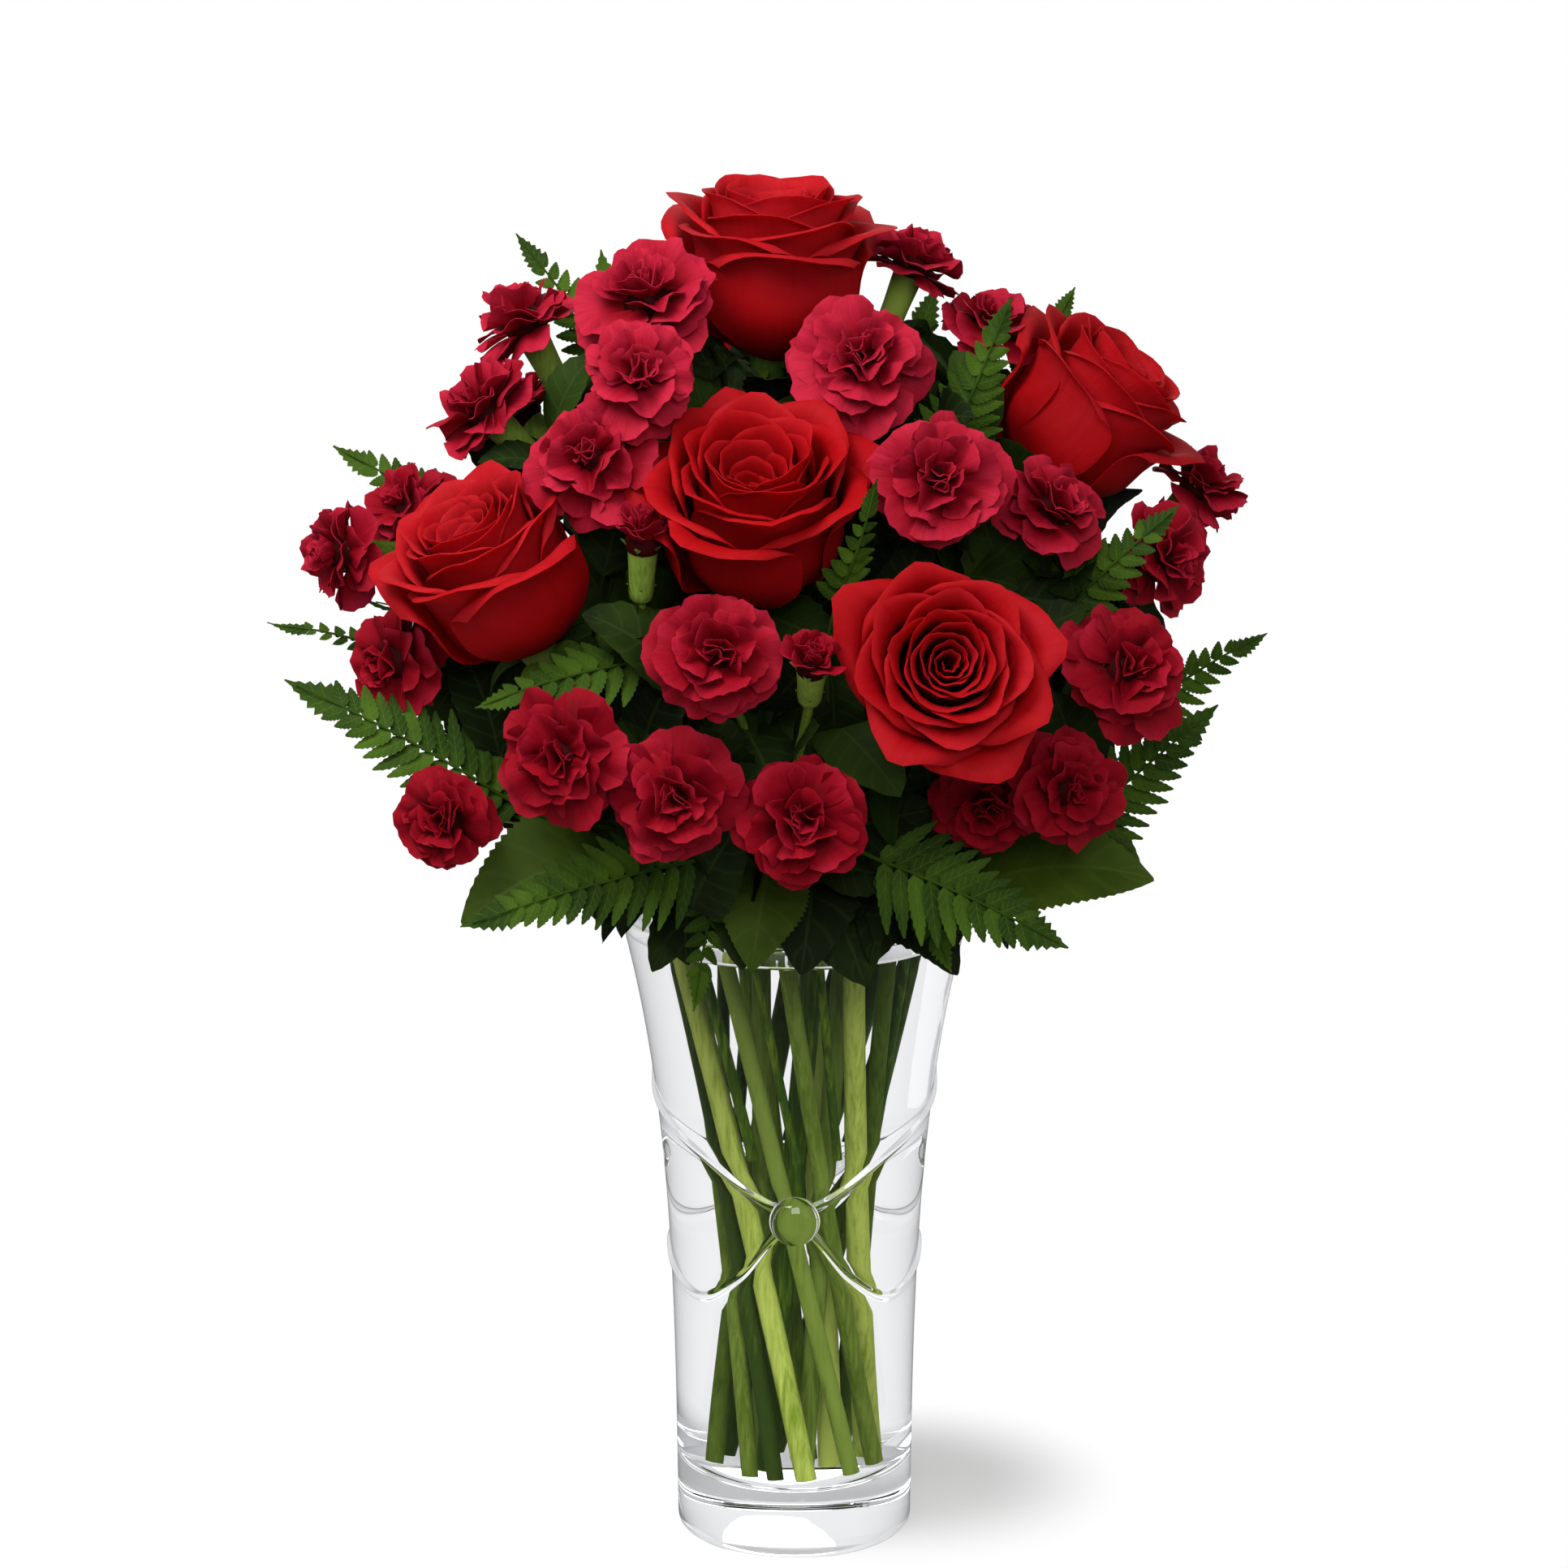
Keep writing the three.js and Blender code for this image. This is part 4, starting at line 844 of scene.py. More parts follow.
def add_floor():
    """White far off, and near the vase lit by the lamps, so that it takes a soft shadow."""
    s = Shader("white_floor")
    ray = s.node("LightPath").outputs
    place = s.where()
    seen = seen_straight(s, ray)
    around = s.span(ray["Is Glossy Ray"], after=FLOOR_BOUNCE)
    lit = s.node("BsdfDiffuse", Color=s.blend(seen, around, (FLOOR_LIT,) * 3)).outputs[0]
    glow = s.node("Emission", Strength=s.math("MULTIPLY", seen, FLOOR_GLOW)).outputs[0]
    near = s.node("AddShader")
    s.tree.links.new(lit, near.inputs[0])
    s.tree.links.new(glow, near.inputs[1])
    out = s.math("DISTANCE", place, SHADOW_MIDDLE, kind="VectorMath", output="Value")
    far = s.span(out, SHADOW_REACH, kind="SMOOTHSTEP")
    plain = s.node("Emission", Strength=whiteness(s, ray, place)).outputs[0]
    s.surface(s.either(s.math("MULTIPLY", far, seen), near.outputs[0], plain))
    corners = [(FLOOR_REACH * x, FLOOR_REACH * y, 0) for x, y in ((-1, -1), (1, -1), (1, 1), (-1, 1))]
    add_mesh("floor", corners, [(0, 1, 2, 3)], s.material)


add_camera()
bpy.context.scene.view_settings.view_transform = "Standard"
bpy.context.scene.view_settings.look = "None"
add_world()
add_floor()
for name, lamp in LAMPS.items():
    add_lamp(name, *lamp)


# Vase and water
def outer_radius(z):
    t = np.asarray(z, float) / HEIGHT
    return FOOT_RADIUS + TAPER * t + FLARE * t**FLARE_POWER


def wave_table(wave):
    """Heights of a wave at many angles, with a smooth turn at each entry."""
    knots = np.array([wave[0], *wave, wave[-1]], float)
    knots[0] = (-wave[1][0], wave[1][1])
    knots[-1] = (360 - wave[-2][0], wave[-2][1])
    rows = []
    t = np.linspace(0, 1, 20, endpoint=False)[:, None]
    for a, b, c, d in zip(knots, knots[1:], knots[2:], knots[3:]):
        cubic = (2 * a - 5 * b + 4 * c - d) * t**2 + (3 * b - a - 3 * c + d) * t**3
        rows.append(0.5 * (2 * b + (c - a) * t + cubic))
    rows.append(knots[-2:-1])
    return np.concatenate(rows)


def wall_rings(low, high, steps):
    levels = [mix(low, high, share) for share in np.linspace(0, 1, steps + 2)[1:-1]]
    return [(outer_radius(z), z) for z in levels]


def floor_corner(grown):
    """The rounded corner between the wall and the floor inside, grown outwards a little for the water."""
    inside = float(outer_radius(FLOOR)) - WALL + grown
    rings = []
    for a in np.radians(np.linspace(0, 90, CORNER_RINGS)):
        z = FLOOR + FLOOR_CORNER - (FLOOR_CORNER + grown) * math.sin(a)
        rings.append((inside - FLOOR_CORNER * (1 - math.cos(a)), z))
    return rings


def build_vase():
    degrees = np.arange(VASE_SIDES) * 360 / VASE_SIDES
    folded = np.minimum(degrees, 360 - degrees)
    foot_steps, waist_steps, mouth_steps, inner_rings = WALL_RINGS
    rings = list(FOOT_HOLLOW)
    for a in np.radians(np.linspace(15, 90, 6)):
        rings.append((FOOT_RADIUS - FOOT_CHAMFER * (1 - math.sin(a)), FOOT_CHAMFER * (1 - math.cos(a))))
    low = FOOT_CHAMFER
    for wave, steps in ((LOWER_WAVE, foot_steps), (UPPER_WAVE, waist_steps)):
        table = wave_table(wave)
        band = np.interp(folded, table[:, 0], table[:, 1])
        rings += wall_rings(low, band - WAVE_HALF, steps)
        for share in np.linspace(-1, 1, WAVE_RINGS):
            z = band + WAVE_HALF * share
            rise = (0.5 + 0.5 * math.cos(math.pi * share)) ** WAVE_POWER
            rings.append((outer_radius(z) + WAVE_RISE * rise, z))
        low = band + WAVE_HALF
    rings += wall_rings(low, HEIGHT - LIP, mouth_steps)
    for a in np.radians(np.linspace(0, 180, LIP_RINGS)):
        rings.append((outer_radius(HEIGHT) - LIP + LIP * math.cos(a), HEIGHT - LIP + LIP * math.sin(a)))
    for z in np.linspace(HEIGHT - INNER_TOP, FLOOR + INNER_LOW, inner_rings):
        rings.append((outer_radius(z) - WALL, z))
    rings += floor_corner(0)
    rings += [(r, FLOOR - FLOOR_DISH * (1 - r / DISH_REACH)) for r in FLOOR_RINGS]
    vase = turned_solid(rings, VASE_SIDES, 0).piece("vase_glass", GLASS, "glass", ["vase"], sharp=GLASS_SHARP)
    for side in (-1, 1):
        fuse(vase, add_bead(side))
    mesh = vase.data
    mesh.name = "vase_glass"
    soften(mesh, BEAD_SHARP)
    points = np.empty(len(mesh.vertices) * 3, np.float32)
    mesh.vertices.foreach_get("co", points)
    x, y, z = points.reshape(-1, 3).T / MM
    wet = (np.hypot(x, y) < outer_radius(z) - WALL + WET_REACH) & (z > FLOOR - 1) & (z < WATER_LEVEL)
    mesh.attributes["tone"].data.foreach_set("value", 1 - wet.astype(np.float32))


def fuse(thing, other):
    union = thing.modifiers.new(other.name, "BOOLEAN")
    union.operation = "UNION"
    union.solver = "EXACT"
    union.object = other
    fused = bpy.data.meshes.new_from_object(thing.evaluated_get(bpy.context.evaluated_depsgraph_get()))
    thing.modifiers.remove(union)
    old = thing.data
    thing.data = fused
    bpy.data.meshes.remove(old)
    bpy.data.objects.remove(other)


def add_bead(side):
    tilt = np.linspace(0, np.pi, BEAD_RINGS + 2)[1:-1, None]
    turns = np.linspace(0, 2 * np.pi, BEAD_SIDES, endpoint=False)
    ball = [np.sin(tilt) * np.cos(turns), np.cos(tilt) + 0 * turns, np.sin(tilt) * np.sin(turns)]
    points = np.concatenate([np.stack(ball, axis=2).reshape(-1, 3), [(0, 1, 0), (0, -1, 0)]])
    points = points * (BEAD_RADIUS, BEAD_DEPTH, BEAD_RADIUS)
    forward = float(outer_radius(BEAD_HEIGHT)) - BEAD_SINK + BEAD_DEPTH
    points = points + (0, side * forward, BEAD_HEIGHT)
    return add_mesh("bead", points * MM, barrel_faces(BEAD_RINGS, BEAD_SIDES), GLASS)


def build_water():
    rings = [(r, FLOOR - drop) for r, drop in WATER_FLOOR] + floor_corner(WATER_OVERLAP)[::-1]
    for z in np.linspace(FLOOR + INNER_LOW, WATER_LEVEL, WATER_RINGS):
        rings.append((float(outer_radius(z)) - WALL + WATER_OVERLAP, z))
    top = float(outer_radius(WATER_LEVEL)) - WALL
    below = len(rings)
    for inward, drop in (*WATER_BRIM, (top - 0.01, WATER_DROP)):
        rings.append((top - inward, WATER_LEVEL - drop))
    surface = np.repeat(np.arange(len(rings)) >= below, WATER_SIDES)
    water = turned_solid(rings, WATER_SIDES, surface)
    water.piece("vase_water", WATER, "water", ["water"], sharp=GLASS_SHARP)


# Stems
class Stem:
    def __init__(self, ring, radius, target):
        self.ring, self.radius, self.target = ring, radius, np.asarray(target, float)

    def path(self, end, arriving, steps):
        rising = unit(self.mouth - self.foot)
        standing = [mix(self.foot, self.mouth, share) for share in np.linspace(0, 1, STANDING + 1)[:-1]]
        return np.concatenate([standing, bezier(self.mouth, rising, end, arriving, steps)])

    def hub(self, share):
        """Where the stem forks, and the way it is heading there."""
        return mix(self.mouth, self.target, share), unit(self.target - self.mouth)


def azimuth(p):
    return math.atan2(p[0], -p[1])


def place_in_ring(stems, mouth, foot, turn):
    stems = sorted(stems, key=lambda s: azimuth(s.target))
    widths = np.array([2 * s.radius + STEM_GAP for s in stems])
    middles = 2 * np.pi * (np.cumsum(widths) - widths / 2) / widths.sum()
    shift = np.mean([azimuth(s.target) for s in stems] - middles)
    for k, (stem, angle) in enumerate(zip(stems, middles + shift)):
        stem.tone = STEM_TONES[k % len(STEM_TONES)]
        stem.mouth = mouth * level_way(angle) + (0, 0, HEIGHT)
        stem.foot = foot * level_way(angle + math.radians(turn)) + (0, 0, FOOT_Z)


def rose_seat(rose):
    at, faces, width, ring = rose
    return np.asarray(at, float) - unit(faces) * (ROSE_MIDDLE * width / ROSE_WIDTH)


def bloom_seat(bloom):
    at, faces, width, opened = bloom
    return np.asarray(at, float) - unit(faces) * (CARNATION_MIDDLE * width / 2)


STEMS = {name: Stem(rose[3], ROSE_STEM, rose_seat(rose)) for name, rose in ROSES.items()}
for name, (ring, blooms) in SPRAYS.items():
    STEMS[name] = Stem(ring, SPRAY_STEM, np.mean([bloom_seat(bloom) for bloom in blooms], axis=0))
for plants, radius in ((FERNS, FERN_STEM), (TWIGS, LEAF_STEM)):
    for name, (fork, blades) in plants.items():
        STEMS[name] = Stem("outer", radius, np.mean([blade[0] for blade in blades], axis=0))
for ring, (mouth, foot, turn) in RINGS.items():
    place_in_ring([s for s in STEMS.values() if s.ring == ring], mouth, foot, turn)
for name in [*FERNS, *TWIGS]:
    STEMS[name].foot = mix(STEMS[name].foot, STEMS[name].mouth, CUT_SHORT)


# Leaves
def lie_of(base, tip, facing):
    """A leaf's base, its length, and the ways ahead, aside and up from its face."""
    base, tip = np.asarray(base, float), np.asarray(tip, float)
    length = np.linalg.norm(tip - base)
    ahead = (tip - base) / length
    side = unit(np.cross(ahead, facing))
    return base, length, ahead, side, np.cross(side, ahead)


def leaf_grid(base, tip, facing, half, kind, rng):
    """A leaf as a grid of points: oval or lance shaped, toothed, arched, folded at its rib, and quilted."""
    base, length, ahead, side, normal = lie_of(base, tip, facing)
    rows = max(kind.rows, 2 * kind.teeth + 1)
    v = np.linspace(0, 1, rows)[:, None]
    across = np.linspace(-1, 1, kind.cols)[None, :]
    aside = np.abs(across)
    width = half * np.sin(np.pi * v ** (math.log(0.5) / math.log(kind.belly))) ** kind.ends
    span = across * np.maximum(width, LEAF_EDGE)
    forward = np.zeros_like(span)
    if kind.teeth:
        tooth = (np.arange(rows) % 2)[:, None] * np.sin(np.pi * np.clip(v * 1.04, 0, 1)) ** 0.5
        span[:, [0, -1]] *= 1 - kind.depth * (1 - tooth)
        forward[:, [0, -1]] = tooth * TOOTH_LEAN * length / (2 * kind.teeth + 1)
    height = kind.arch * length * 4 * v * (1 - v) + kind.fold * np.abs(span)
    quilt = np.cos(2 * np.pi * (v * kind.veins - 0.55 * aside)) * aside * (1 - aside**4)
    height = height - kind.relief * quilt * np.sin(np.pi * v)
    height = height + 0.05 * half * np.sin(v * 9 + rng.uniform(0, 6)) * aside**2 * np.sign(across)
    height = height + rng.uniform(-0.04, 0.04) * length * v**2
    grid = base + (v * length + forward)[..., None] * ahead + span[..., None] * side
    return grid + height[..., None] * normal


def add_leaf(gather, base, tip, facing, half, kind, rng):
    grid = leaf_grid(base, tip, facing, half, kind, rng)
    add_shell(gather, grid, kind.thickness, rng.uniform(-1, 1))


def add_frond(gather, blade, root, heading, rng):
    """A fern's blade: a stalk and an arched rib with pairs of toothed leaflets that shorten to the tip."""
    base, tip, half, facing = blade
    base, length, ahead, side, normal = lie_of(base, tip, facing)

    def rib(s):
        return mix(base, tip, s) + normal * FERN_ARCH * length * s * (1 - s)

    ribs = [rib(s) for s in np.linspace(0, 0.97, FERN_RIB_POINTS)]
    path = np.concatenate([bezier(root, heading, base, ahead, STALK_POINTS)[:-1], ribs])
    add_tube(gather, path, np.linspace(*FERN_RIB, len(path)), 7, -0.2)
    pairs = max(2, round(FERN_OPEN * length / FERN_PITCH))
    share, least, most = FERN_WIDE
    for k in range(pairs):
        s = FERN_OPEN * (k + 0.45) / pairs
        reach = half * (FERN_REACH[0] - FERN_REACH[1] * s) * (FERN_FIRST if k == 0 else 1)
        reach = max(FERN_LEAST, reach)
        wide = min(share * reach + least, most * FERN_OPEN * length / pairs)
        for hand in (-1, 1):
            at = rib(s + 0.12 * hand / pairs)
            way = unit(side * hand + ahead * mix(0.5, 1.0, s) + normal * rng.uniform(-0.25, 0.0))
            up = unit(normal + ahead * rng.uniform(0.1, 0.35) + side * rng.uniform(-0.2, 0.2))
            add_leaf(gather, at, at + way * reach * rng.uniform(0.92, 1.05), up, wide, FERN_LEAFLET, rng)
    wide = FERN_END[0] * half + FERN_END[1]
    add_leaf(gather, rib(FERN_OPEN - 0.04), rib(1.0) + ahead * 1.5, normal, wide, FERN_TIP, rng)


def add_salal(gather, blade, root, heading, rng):
    base, tip, half, facing = blade
    ahead = unit(np.subtract(tip, base))
    stalk = bezier(root, heading, np.asarray(base, float) + ahead * 2, ahead, STALK_POINTS)
    add_tube(gather, stalk, np.linspace(*SALAL_STALK, len(stalk)), 8, -0.4)
    add_leaf(gather, base, tip, facing, half, SALAL_LEAF, rng)


def build_foliage(name, fork, blades, material, slot, add_blade):
    stem = STEMS[name]
    hub, heading = stem.hub(fork)
    gather = Gather()
    rng = np.random.default_rng(len(name) * 17 + len(blades))
    stalk = Gather()
    add_tube(stalk, stem.path(hub, heading, 10), stem.radius, 10, -0.9)
    stalk.piece(name + "_stalk", STEM_GREEN, "stem")
    for blade in blades:
        add_blade(gather, blade, hub - heading * 2.5, heading, rng)
    gather.piece(name + "_leaves", material, slot, [name])


# Roses
def rose_petal(i, rng, bowl, fold):
    """One petal of a rose about its receptacle, from 0 innermost, as a grid of points."""
    t = i / (ROSE_PETALS - 1)
    v = (1 - (1 - np.linspace(0, 1, ROSE_ROWS)) ** 1.5)[:, None]
    even = np.linspace(-1, 1, ROSE_COLS)[None, :]
    u = mix(even, np.sin(np.pi / 2 * even), smooth(t, 0.2, 0.6))
    aside = np.abs(u)
    radius = mix(*ROSE_RADIUS, t**0.9) * rng.uniform(0.96, 1.04)
    low = mix(*ROSE_LOW, t)
    top = ROSE_TOP + ROSE_RISE * math.sin(math.pi / 2 * min(1, 2 * t)) - ROSE_FALL * max(0, 2 * t - 1) ** 1.8
    top += rng.uniform(-1.0, 1.0) - bowl * (1 - smooth(t, 0.05, 0.5))
    lip = (ROSE_LIP[0] + ROSE_LIP[1] * t**2.2) * fold * rng.uniform(0.85, 1.15)
    half = math.radians(mix(*ROSE_WRAP, t**0.65))
    opening = np.sin(np.pi / 2 * np.clip(v / 0.5, 0, 1))
    shape = (0.42 + 0.58 * opening) * (1 - 0.34 * np.clip((v - 0.6) / 0.4, 0, 1) ** 2)
    roll = np.clip((v - 0.55) / 0.45, 0, 1) ** 2
    r = mix(mix(*ROSE_CLAW, t), radius, opening**0.85)
    r = r - (1 - t) ** 1.5 * radius * 0.22 * v**3
    r = r + lip * roll * (1 - 0.72 * aside**1.3) + rng.uniform(0.6, 1.1) * u * mix(*ROSE_SLANT, t)
    z = low + (top - low) * v**1.12
    z = z - roll * aside**1.7 * mix(*ROSE_DROOP, t**1.5)
    z = z - 0.5 * lip * roll**1.6
    edge = np.maximum(np.clip((aside - 0.72) / 0.28, 0, 1) ** 2 * v, np.clip((v - 0.86) / 0.14, 0, 1) ** 2)
    curl = mix(*ROSE_CURL, t)
    r = r + curl * edge
    z = z - curl * 0.6 * edge
    p, q = rng.uniform(0, 6.28, 2)
    r = r + mix(*ROSE_SWAY, t) * np.sin(2.6 * u + p) * v**3
    z = z + mix(*ROSE_WAVE, t) * np.sin(3.4 * u + q) * v**3
    point = np.exp(-(((u - rng.uniform(-0.15, 0.15)) / 0.26) ** 2)) * roll * t**1.4
    r = r + ROSE_POINT * point + ROSE_RIPPLE * np.sin(11 * u + q) * v**5
    z = z + rng.uniform(-0.6, 1.2) * point
    angle = i * GOLDEN_ANGLE + rng.uniform(-0.14, 0.14) + u * half * shape
    grid = np.stack([r * np.cos(angle), r * np.sin(angle), z + 0 * angle], axis=2)
    return grid, v + 0 * u, u + 0 * v


def build_rose(name, number):
    at, faces, width, ring = ROSES[name]
    start, bowl, fold, shade = ROSE_LOOKS[name]
    turn = turn_to(faces)
    rng = np.random.default_rng(100 + number)
    gather = Gather()
    for i in range(ROSE_PETALS):
        grid, v, u = rose_petal(i, rng, bowl, fold)
        grid = (grid @ turn_about(start).T * (width / ROSE_WIDTH)) @ turn.T + rose_seat(ROSES[name])
        # shade is painted light for the whole head; each petal adds random tone
        add_shell(gather, grid, ROSE_SHEET, shade + rng.uniform(-0.6, 0.6), v, u)
    gather.piece(name + "_petals", ROSE_RED, "rose_petal", [name + "_bloom"])


def build_rose_stem(name, number):
    """A rose's stem, with its hip and its sepals."""
    at, faces, width, ring = ROSES[name]
    scale = width / ROSE_WIDTH
    axis = unit(faces)
    seat = rose_seat(ROSES[name])
    stem = STEMS[name]
    path = stem.path(seat - axis * ROSE_NECK * scale, axis, 16)
    hip = [seat + axis * z * scale for r, z in ROSE_HIP]
    radii = [stem.radius] * len(path) + [r * scale for r, z in ROSE_HIP]
    gather = Gather()
    rng = np.random.default_rng(300 + number)
    add_tube(gather, np.concatenate([path, hip]), radii, STEM_SIDES, stem.tone)
    outward, inset = SEPAL_ROOT
    reach, least, most = SEPAL_TIP
    for out in around(turn_to(faces), SEPALS, 0.5):
        root = seat + (out * outward - axis * inset) * scale
        tip = seat + (out * reach - axis * rng.uniform(least, most)) * scale
        add_leaf(gather, root, tip, axis, SEPAL_HALF * scale, SEPAL, rng)
    gather.piece(name + "_stalk", STEM_GREEN, "stem", [name + "_stem"])


# Carnations
def carnation_petal(whorl, k, radius, opened, rng):
    """One petal: a fan about its claw, bent back, softly pleated, and notched along its edge."""
    count, low, core, reach, rise, bend, fan, pleat, crease = whorl
    v = (1 - (1 - np.linspace(0, 1, CARNATION_ROWS)) ** 1.25)[:, None]
    u = np.linspace(-1, 1, CARNATION_COLS)[None, :]
    length = reach * radius * rng.uniform(0.8, 1.1)
    spread = math.radians(fan * mix(0.5, 1, opened) * rng.uniform(0.9, 1.12))
    spread = spread * (0.55 + 0.45 * smooth(v, 0.05, 0.45))
    notch = 1 - rng.uniform(0.0, 0.12) * np.exp(-(((u - rng.uniform(-0.3, 0.3)) / 0.2) ** 2))
    teeth = rng.uniform(0.2, 1, CARNATION_COLS + 2)[1:-1] * (np.arange(CARNATION_COLS) % 2)
    notch = notch - NOTCH_DEPTH * teeth - CORNER_CUT * np.abs(u) ** 3
    distance = length * (0.04 + 0.96 * v) * mix(1, notch, v**2)
    x = distance * np.cos(u * spread)
    y = distance * np.sin(u * spread)
    start = math.radians(min(STEEPEST, rise + (1 - opened) * SHUT_TURN + rng.uniform(-14, 14)))
    turned = math.radians(bend * opened + rng.uniform(-18, 12))
    tilt = start + turned * x / length
    middle = start + turned * x / length / 2
    p, q = rng.uniform(0, 6.28, 2)
    wave = np.sin(u * rng.uniform(2.0, 3.6) + p) + 0.4 * np.sin(u * rng.uniform(5, 7.5) + q)
    height = pleat * radius * mix(0.4, 1, opened) * v**1.4 * wave
    height = height + (crease + rng.uniform(-0.18, 0.25)) * np.abs(y) * v + rng.uniform(-0.5, 0.5) * y * v
    height = height + rng.uniform(-0.12, 0.2) * radius * np.abs(u) ** 3 * v**2
    height = FOLD_LIMIT * radius * np.tanh(height / (FOLD_LIMIT * radius))
    out = core * radius + x * np.cos(middle) - height * np.sin(tilt)
    up = low * radius + x * np.sin(middle) + height * np.cos(tilt)
    angle = 2 * np.pi * (k + rng.uniform(-0.3, 0.3)) / count + low * 9
    return np.stack([out, y, up], axis=2) @ turn_about(angle).T, v + 0 * u, u + 0 * v


def build_carnation(number, bloom):
    at, faces, width, opened = bloom
    radius = width / 2 * mix(*CARNATION_SPREAD, opened)
    seat = bloom_seat(bloom)
    turn = turn_to(faces)
    rng = np.random.default_rng(500 + number)
    spin = turn_about(rng.uniform(0, 2 * np.pi))
    # Painted light: the higher a head stands, the lighter its petals are drawn; the rest is random tone
    tint = rng.uniform(-0.3, 0.3) + (at[2] - PAINTED_LIGHT_MIDDLE) / PAINTED_LIGHT_SPAN
    gather = Gather()
    # A core of claws at the middle, drawn in the darkest petal colour as painted shade
    claws = np.array(CARNATION_CLAWS) * radius
    add_tube(gather, seat + unit(faces) * claws[:, :1], claws[:, 1], 12, -1, along=0)
    for whorl in CARNATION_WHORLS[0 if opened > HALF_OPEN else 1:]:
        for k in range(whorl[0]):
            grid, v, u = carnation_petal(whorl, k, radius, opened, rng)
            grid = (grid @ spin.T) @ turn.T + seat
            add_shell(gather, grid, CARNATION_SHEET, tint + rng.uniform(-0.4, 0.4), v, u)
    name = "carnation_%02d" % number
    gather.piece(name + "_petals", CARNATION_RED, "carnation_petal", [name])


def build_spray(name, first):
    """A spray's stem and stalks. Each stalk ends in a calyx with teeth and a few bracts."""
    ring, blooms = SPRAYS[name]
    stem = STEMS[name]
    hub, heading = stem.hub(SPRAY_FORK)
    gather = Gather()
    rng = np.random.default_rng(700 + first)
    add_tube(gather, stem.path(hub, heading, 12), stem.radius, STEM_SIDES, stem.tone)
    for bloom in blooms:
        at, faces, width, opened = bloom
        size = math.sqrt(width / CALYX_WIDTH)
        top = CALYX_RADIUS * np.clip(size, *CALYX_SIZES)
        axis = unit(faces)
        seat = bloom_seat(bloom)
        foot = seat - axis * CALYX_LENGTH * size
        add_tube(gather, bezier(hub - heading * 3, heading, foot, axis, 12), TWIG, 9, stem.tone)
        tube = [mix(foot, seat, share) for r, share in CALYX_TUBE]
        add_tube(gather, tube, [r * top for r, share in CALYX_TUBE], 16, stem.tone + 0.3)
        for count, start, kind, root, tip in CALYX_LEAVES:
            for out in around(turn_to(faces), count, start):
                ends = [mix(foot, seat, share) + out * top * wide for share, wide in (root, tip)]
                add_leaf(gather, *ends, -out, 0.5 * top, kind, rng)
    gather.piece(name + "_stalks", CALYX_GREEN, "calyx", [name])


# Leaves between the heads and over the rim
HEADS = [*ROSES.values(), *(bloom for ring, blooms in SPRAYS.values() for bloom in blooms)]
HEAD_AT = np.array([head[0] for head in HEADS], float)
HEAD_RADIUS = np.array([head[2] / 2 for head in HEADS])
HEAD_FACES = np.array([unit(head[1]) for head in HEADS])


def beside(points, away):
    """How far each head is from, ahead of and beside each point, looking one way."""
    offset = HEAD_AT[None] - points[:, None]
    depth = offset @ away
    return offset, depth, np.linalg.norm(offset - depth[..., None] * away, axis=2)


def fits(points, away):
    """True if a leaf's points stay in the bush, out of every head, and hide none from that side."""
    if (((points - BUSH_MIDDLE) / BUSH_REACH) ** 2).sum(axis=1).max() > 1 or points[:, 2].min() < BUSH_FLOOR:
        return False
    offset, depth, aside = beside(points, away)
    if (np.linalg.norm(offset, axis=2) < HEAD_RADIUS + HEAD_CLEAR).any():
        return False
    return not ((depth > 0) & (aside < HEAD_RADIUS * HEAD_SHARE) & (HEAD_FACES @ away < LOOKS_AWAY)).any()


def leaf_points(base, tip, facing, half):
    side = unit(np.cross(tip - base, facing)) * half
    middle = mix(base, tip, 0.45)
    return np.array([base, middle, middle + side, middle - side, tip])


def gap_seeds(away, right):
    """Points on a sheet through the bush where no head stands in the way."""
    span = np.arange(-GAP_SPAN, GAP_SPAN + 1, GAP_STEP)
    x, z = (g.ravel() for g in np.meshgrid(span, span))
    inside = (x / GAP_OVAL[0]) ** 2 + (z / GAP_OVAL[1]) ** 2 < 1
    seeds = BUSH_MIDDLE + x[inside, None] * right + z[inside, None] * np.cross(right, away)
    aside = beside(seeds, away)[2]
    return seeds[((aside > HEAD_RADIUS * HEAD_SHARE) | (HEAD_FACES @ away >= LOOKS_AWAY)).all(axis=1)]


def gap_leaves(rng):
    """Leaves as base, tip, facing and half width, one after another across whatever still shows through."""
    found = []
    for view, layers, near, far in GAP_VIEWS:
        a = math.radians(view)
        away = unit((-math.sin(a), math.cos(a), -GAP_LOOKS_DOWN))
        seeds = gap_seeds(away, np.array([math.cos(a), math.sin(a), 0]))
        passed = np.zeros(len(seeds))
        for k in rng.permutation(len(seeds)):
            for trial in range(GAP_TRIES):
                if passed[k] >= layers:
                    break
                at = seeds[k] + away * rng.uniform(near, far)
                length = rng.uniform(*GAP_LENGTHS)
                ahead = unit(rng.normal(size=3) * 0.6 + unit(at - GAP_SPREADS_FROM) * 0.9)
                facing = unit(-away + (0, 0, 0.4) + rng.normal(size=3) * 0.4)
                base, tip = at - ahead * length * 0.45, at + ahead * length * 0.55
                half = GAP_HALF * length
                if fits(leaf_points(base, tip, facing, half), away):
                    found.append((base, tip, facing, half, INNER_LEAF))
                    offset = seeds - at
                    offset = offset - (offset @ away)[:, None] * away
                    passed[np.linalg.norm(offset, axis=1) < GAP_COVER * length] += 1
    return found


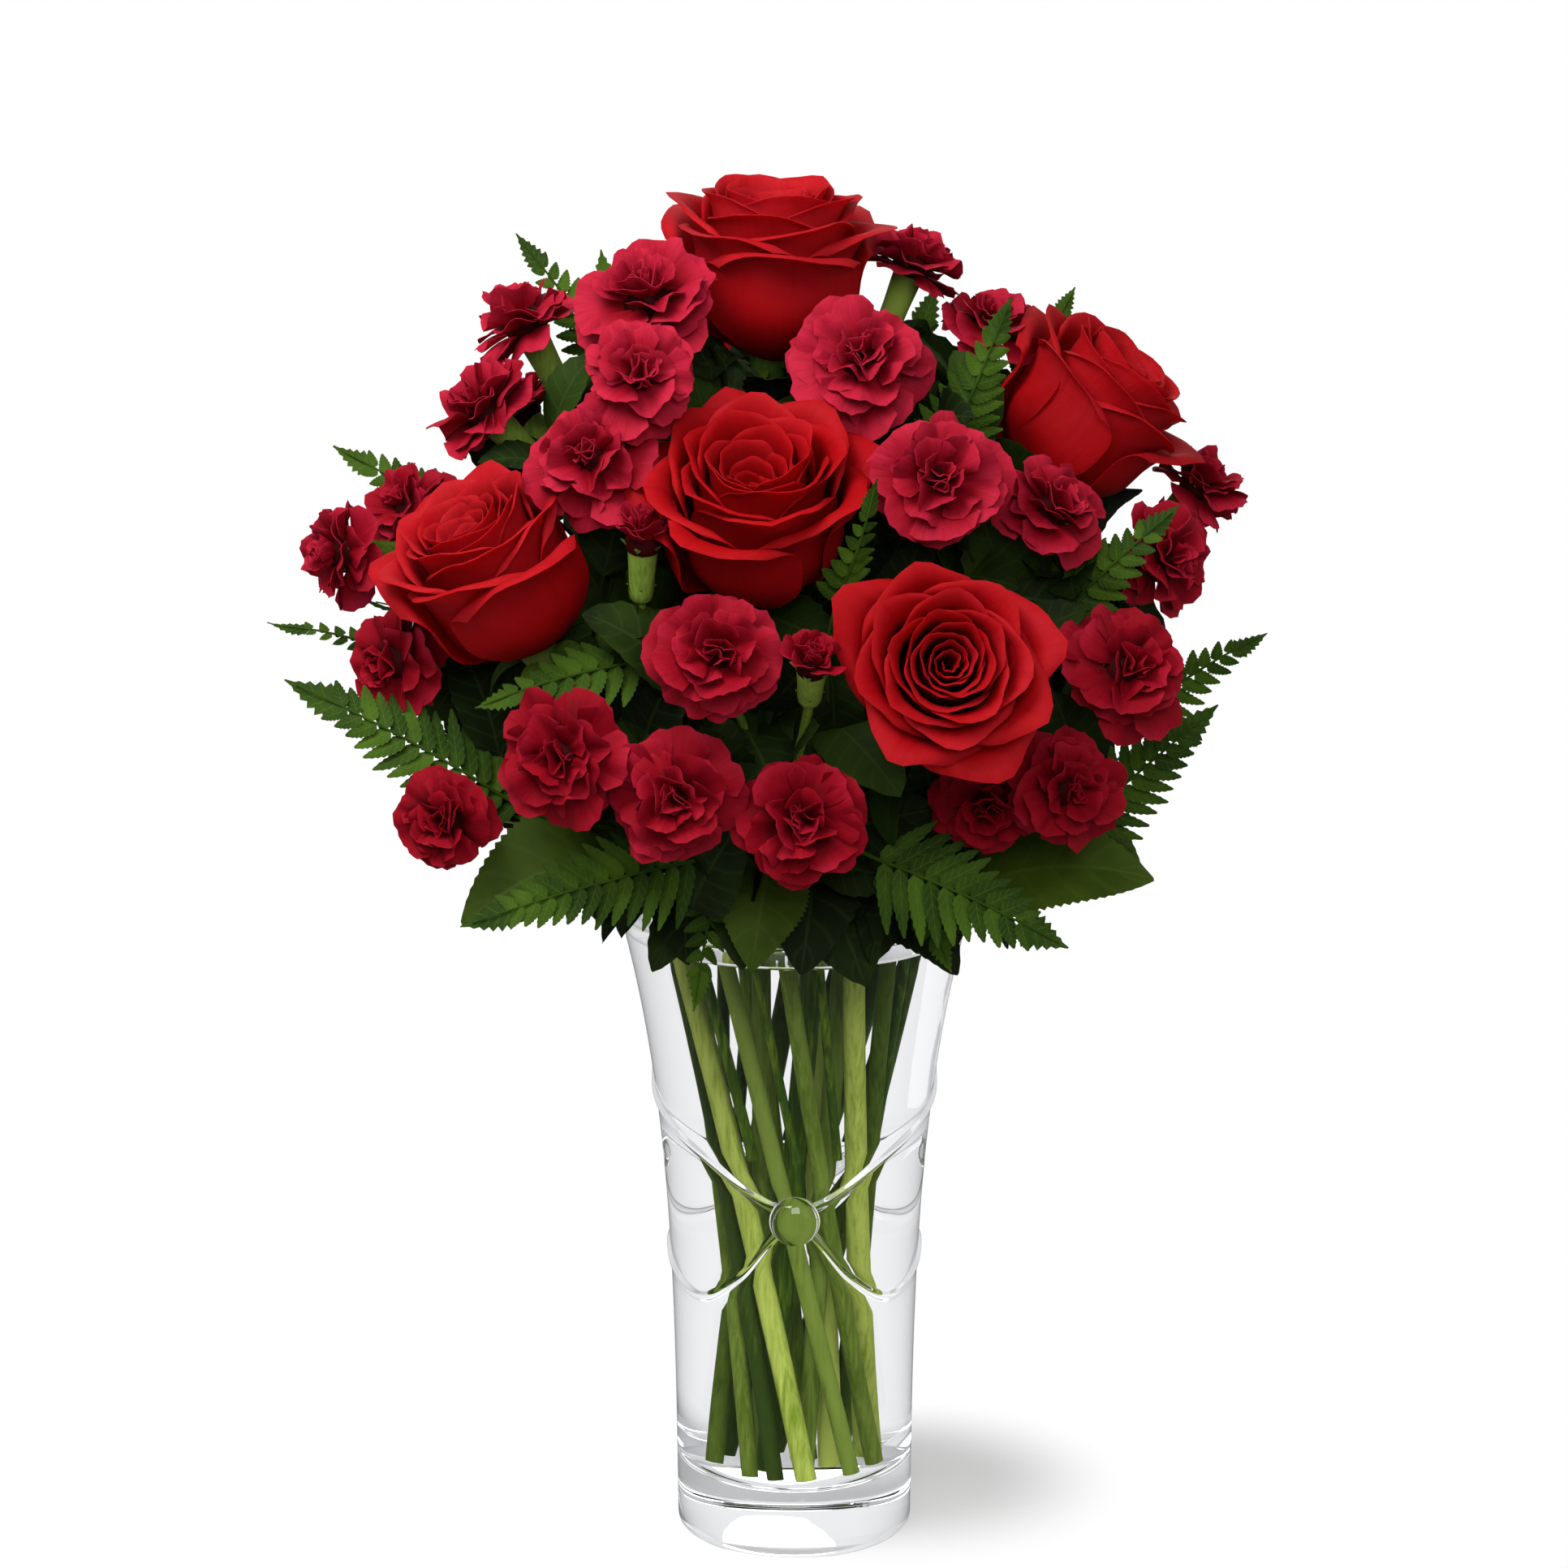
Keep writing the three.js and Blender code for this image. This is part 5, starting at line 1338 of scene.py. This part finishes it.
def rim_leaves(rng):
    """Leaves that spread out over the rim of the vase."""
    found = []
    near, far, level = RIM_BASE
    reach, droop = RIM_TIP
    for k in range(RIM_LEAVES):
        a = 2 * math.pi * (k + rng.uniform(-0.3, 0.3)) / RIM_LEAVES
        out = level_way(a)
        b = a + rng.uniform(-0.5, 0.5)
        high = RIM_STEP * (k % 2)
        base = out * rng.uniform(near, far) + (0, 0, level + high + rng.uniform(-3, 3))
        tip = level_way(b) * (reach + high + rng.uniform(-3, 6))
        tip = tip + (0, 0, droop + high + rng.uniform(-5, 5))
        half = rng.uniform(*RIM_HALF) * np.linalg.norm(tip - base)
        found.append((base, tip, unit(out * 0.7 + (0, 0, 0.9)), half, RIM_LEAF))
    return found


def build_inner_leaves():
    """Each leaf is on a stalk from the nearest stem below it, and goes with that stem's flower."""
    rng = np.random.default_rng(41)
    paths = {}
    for name, rose in ROSES.items():
        paths[name] = STEMS[name].path(rose_seat(rose), unit(rose[1]), 24)[STANDING:-6]
    for name in SPRAYS:
        paths[name] = STEMS[name].path(*STEMS[name].hub(SPRAY_FORK), 16)[STANDING:]
    gathers = {name: Gather() for name in paths}
    for base, tip, facing, half, kind in rim_leaves(rng) + gap_leaves(rng):
        ahead = unit(tip - base)
        lowered = base - ahead * LEAF_HANG
        best = None
        for name, path in paths.items():
            far = np.linalg.norm(path - lowered, axis=1)
            k = int(far.argmin())
            if best is None or far[k] < best[0]:
                best = (far[k], name, path[k])
        far, name, root = best
        stalk = bezier(root, unit(base - root + (0, 0, 0.3 * far)), base + ahead * 1.5, ahead, 4)
        add_tube(gathers[name], stalk, LEAF_STALK, 4, -0.5)
        add_leaf(gathers[name], base, tip, facing, half, kind, rng)
    for name, gather in gathers.items():
        if gather.points:
            # These leaves take the rose leaf green with its painted shade
            gather.piece(name + "_leaves", ROSE_LEAF_SHADED_GREEN, "salal")


build_vase()
build_water()
for number, name in enumerate(ROSES):
    build_rose(name, number)
    build_rose_stem(name, number)
number = 1
for name, (ring, blooms) in SPRAYS.items():
    build_spray(name, number)
    for bloom in blooms:
        build_carnation(number, bloom)
        number += 1
for name, (fork, blades) in FERNS.items():
    build_foliage(name, fork, blades, FERN_GREEN, "fern", add_frond)
for name, (fork, blades) in TWIGS.items():
    build_foliage(name, fork, blades, SALAL_GREEN, "salal", add_salal)
build_inner_leaves()
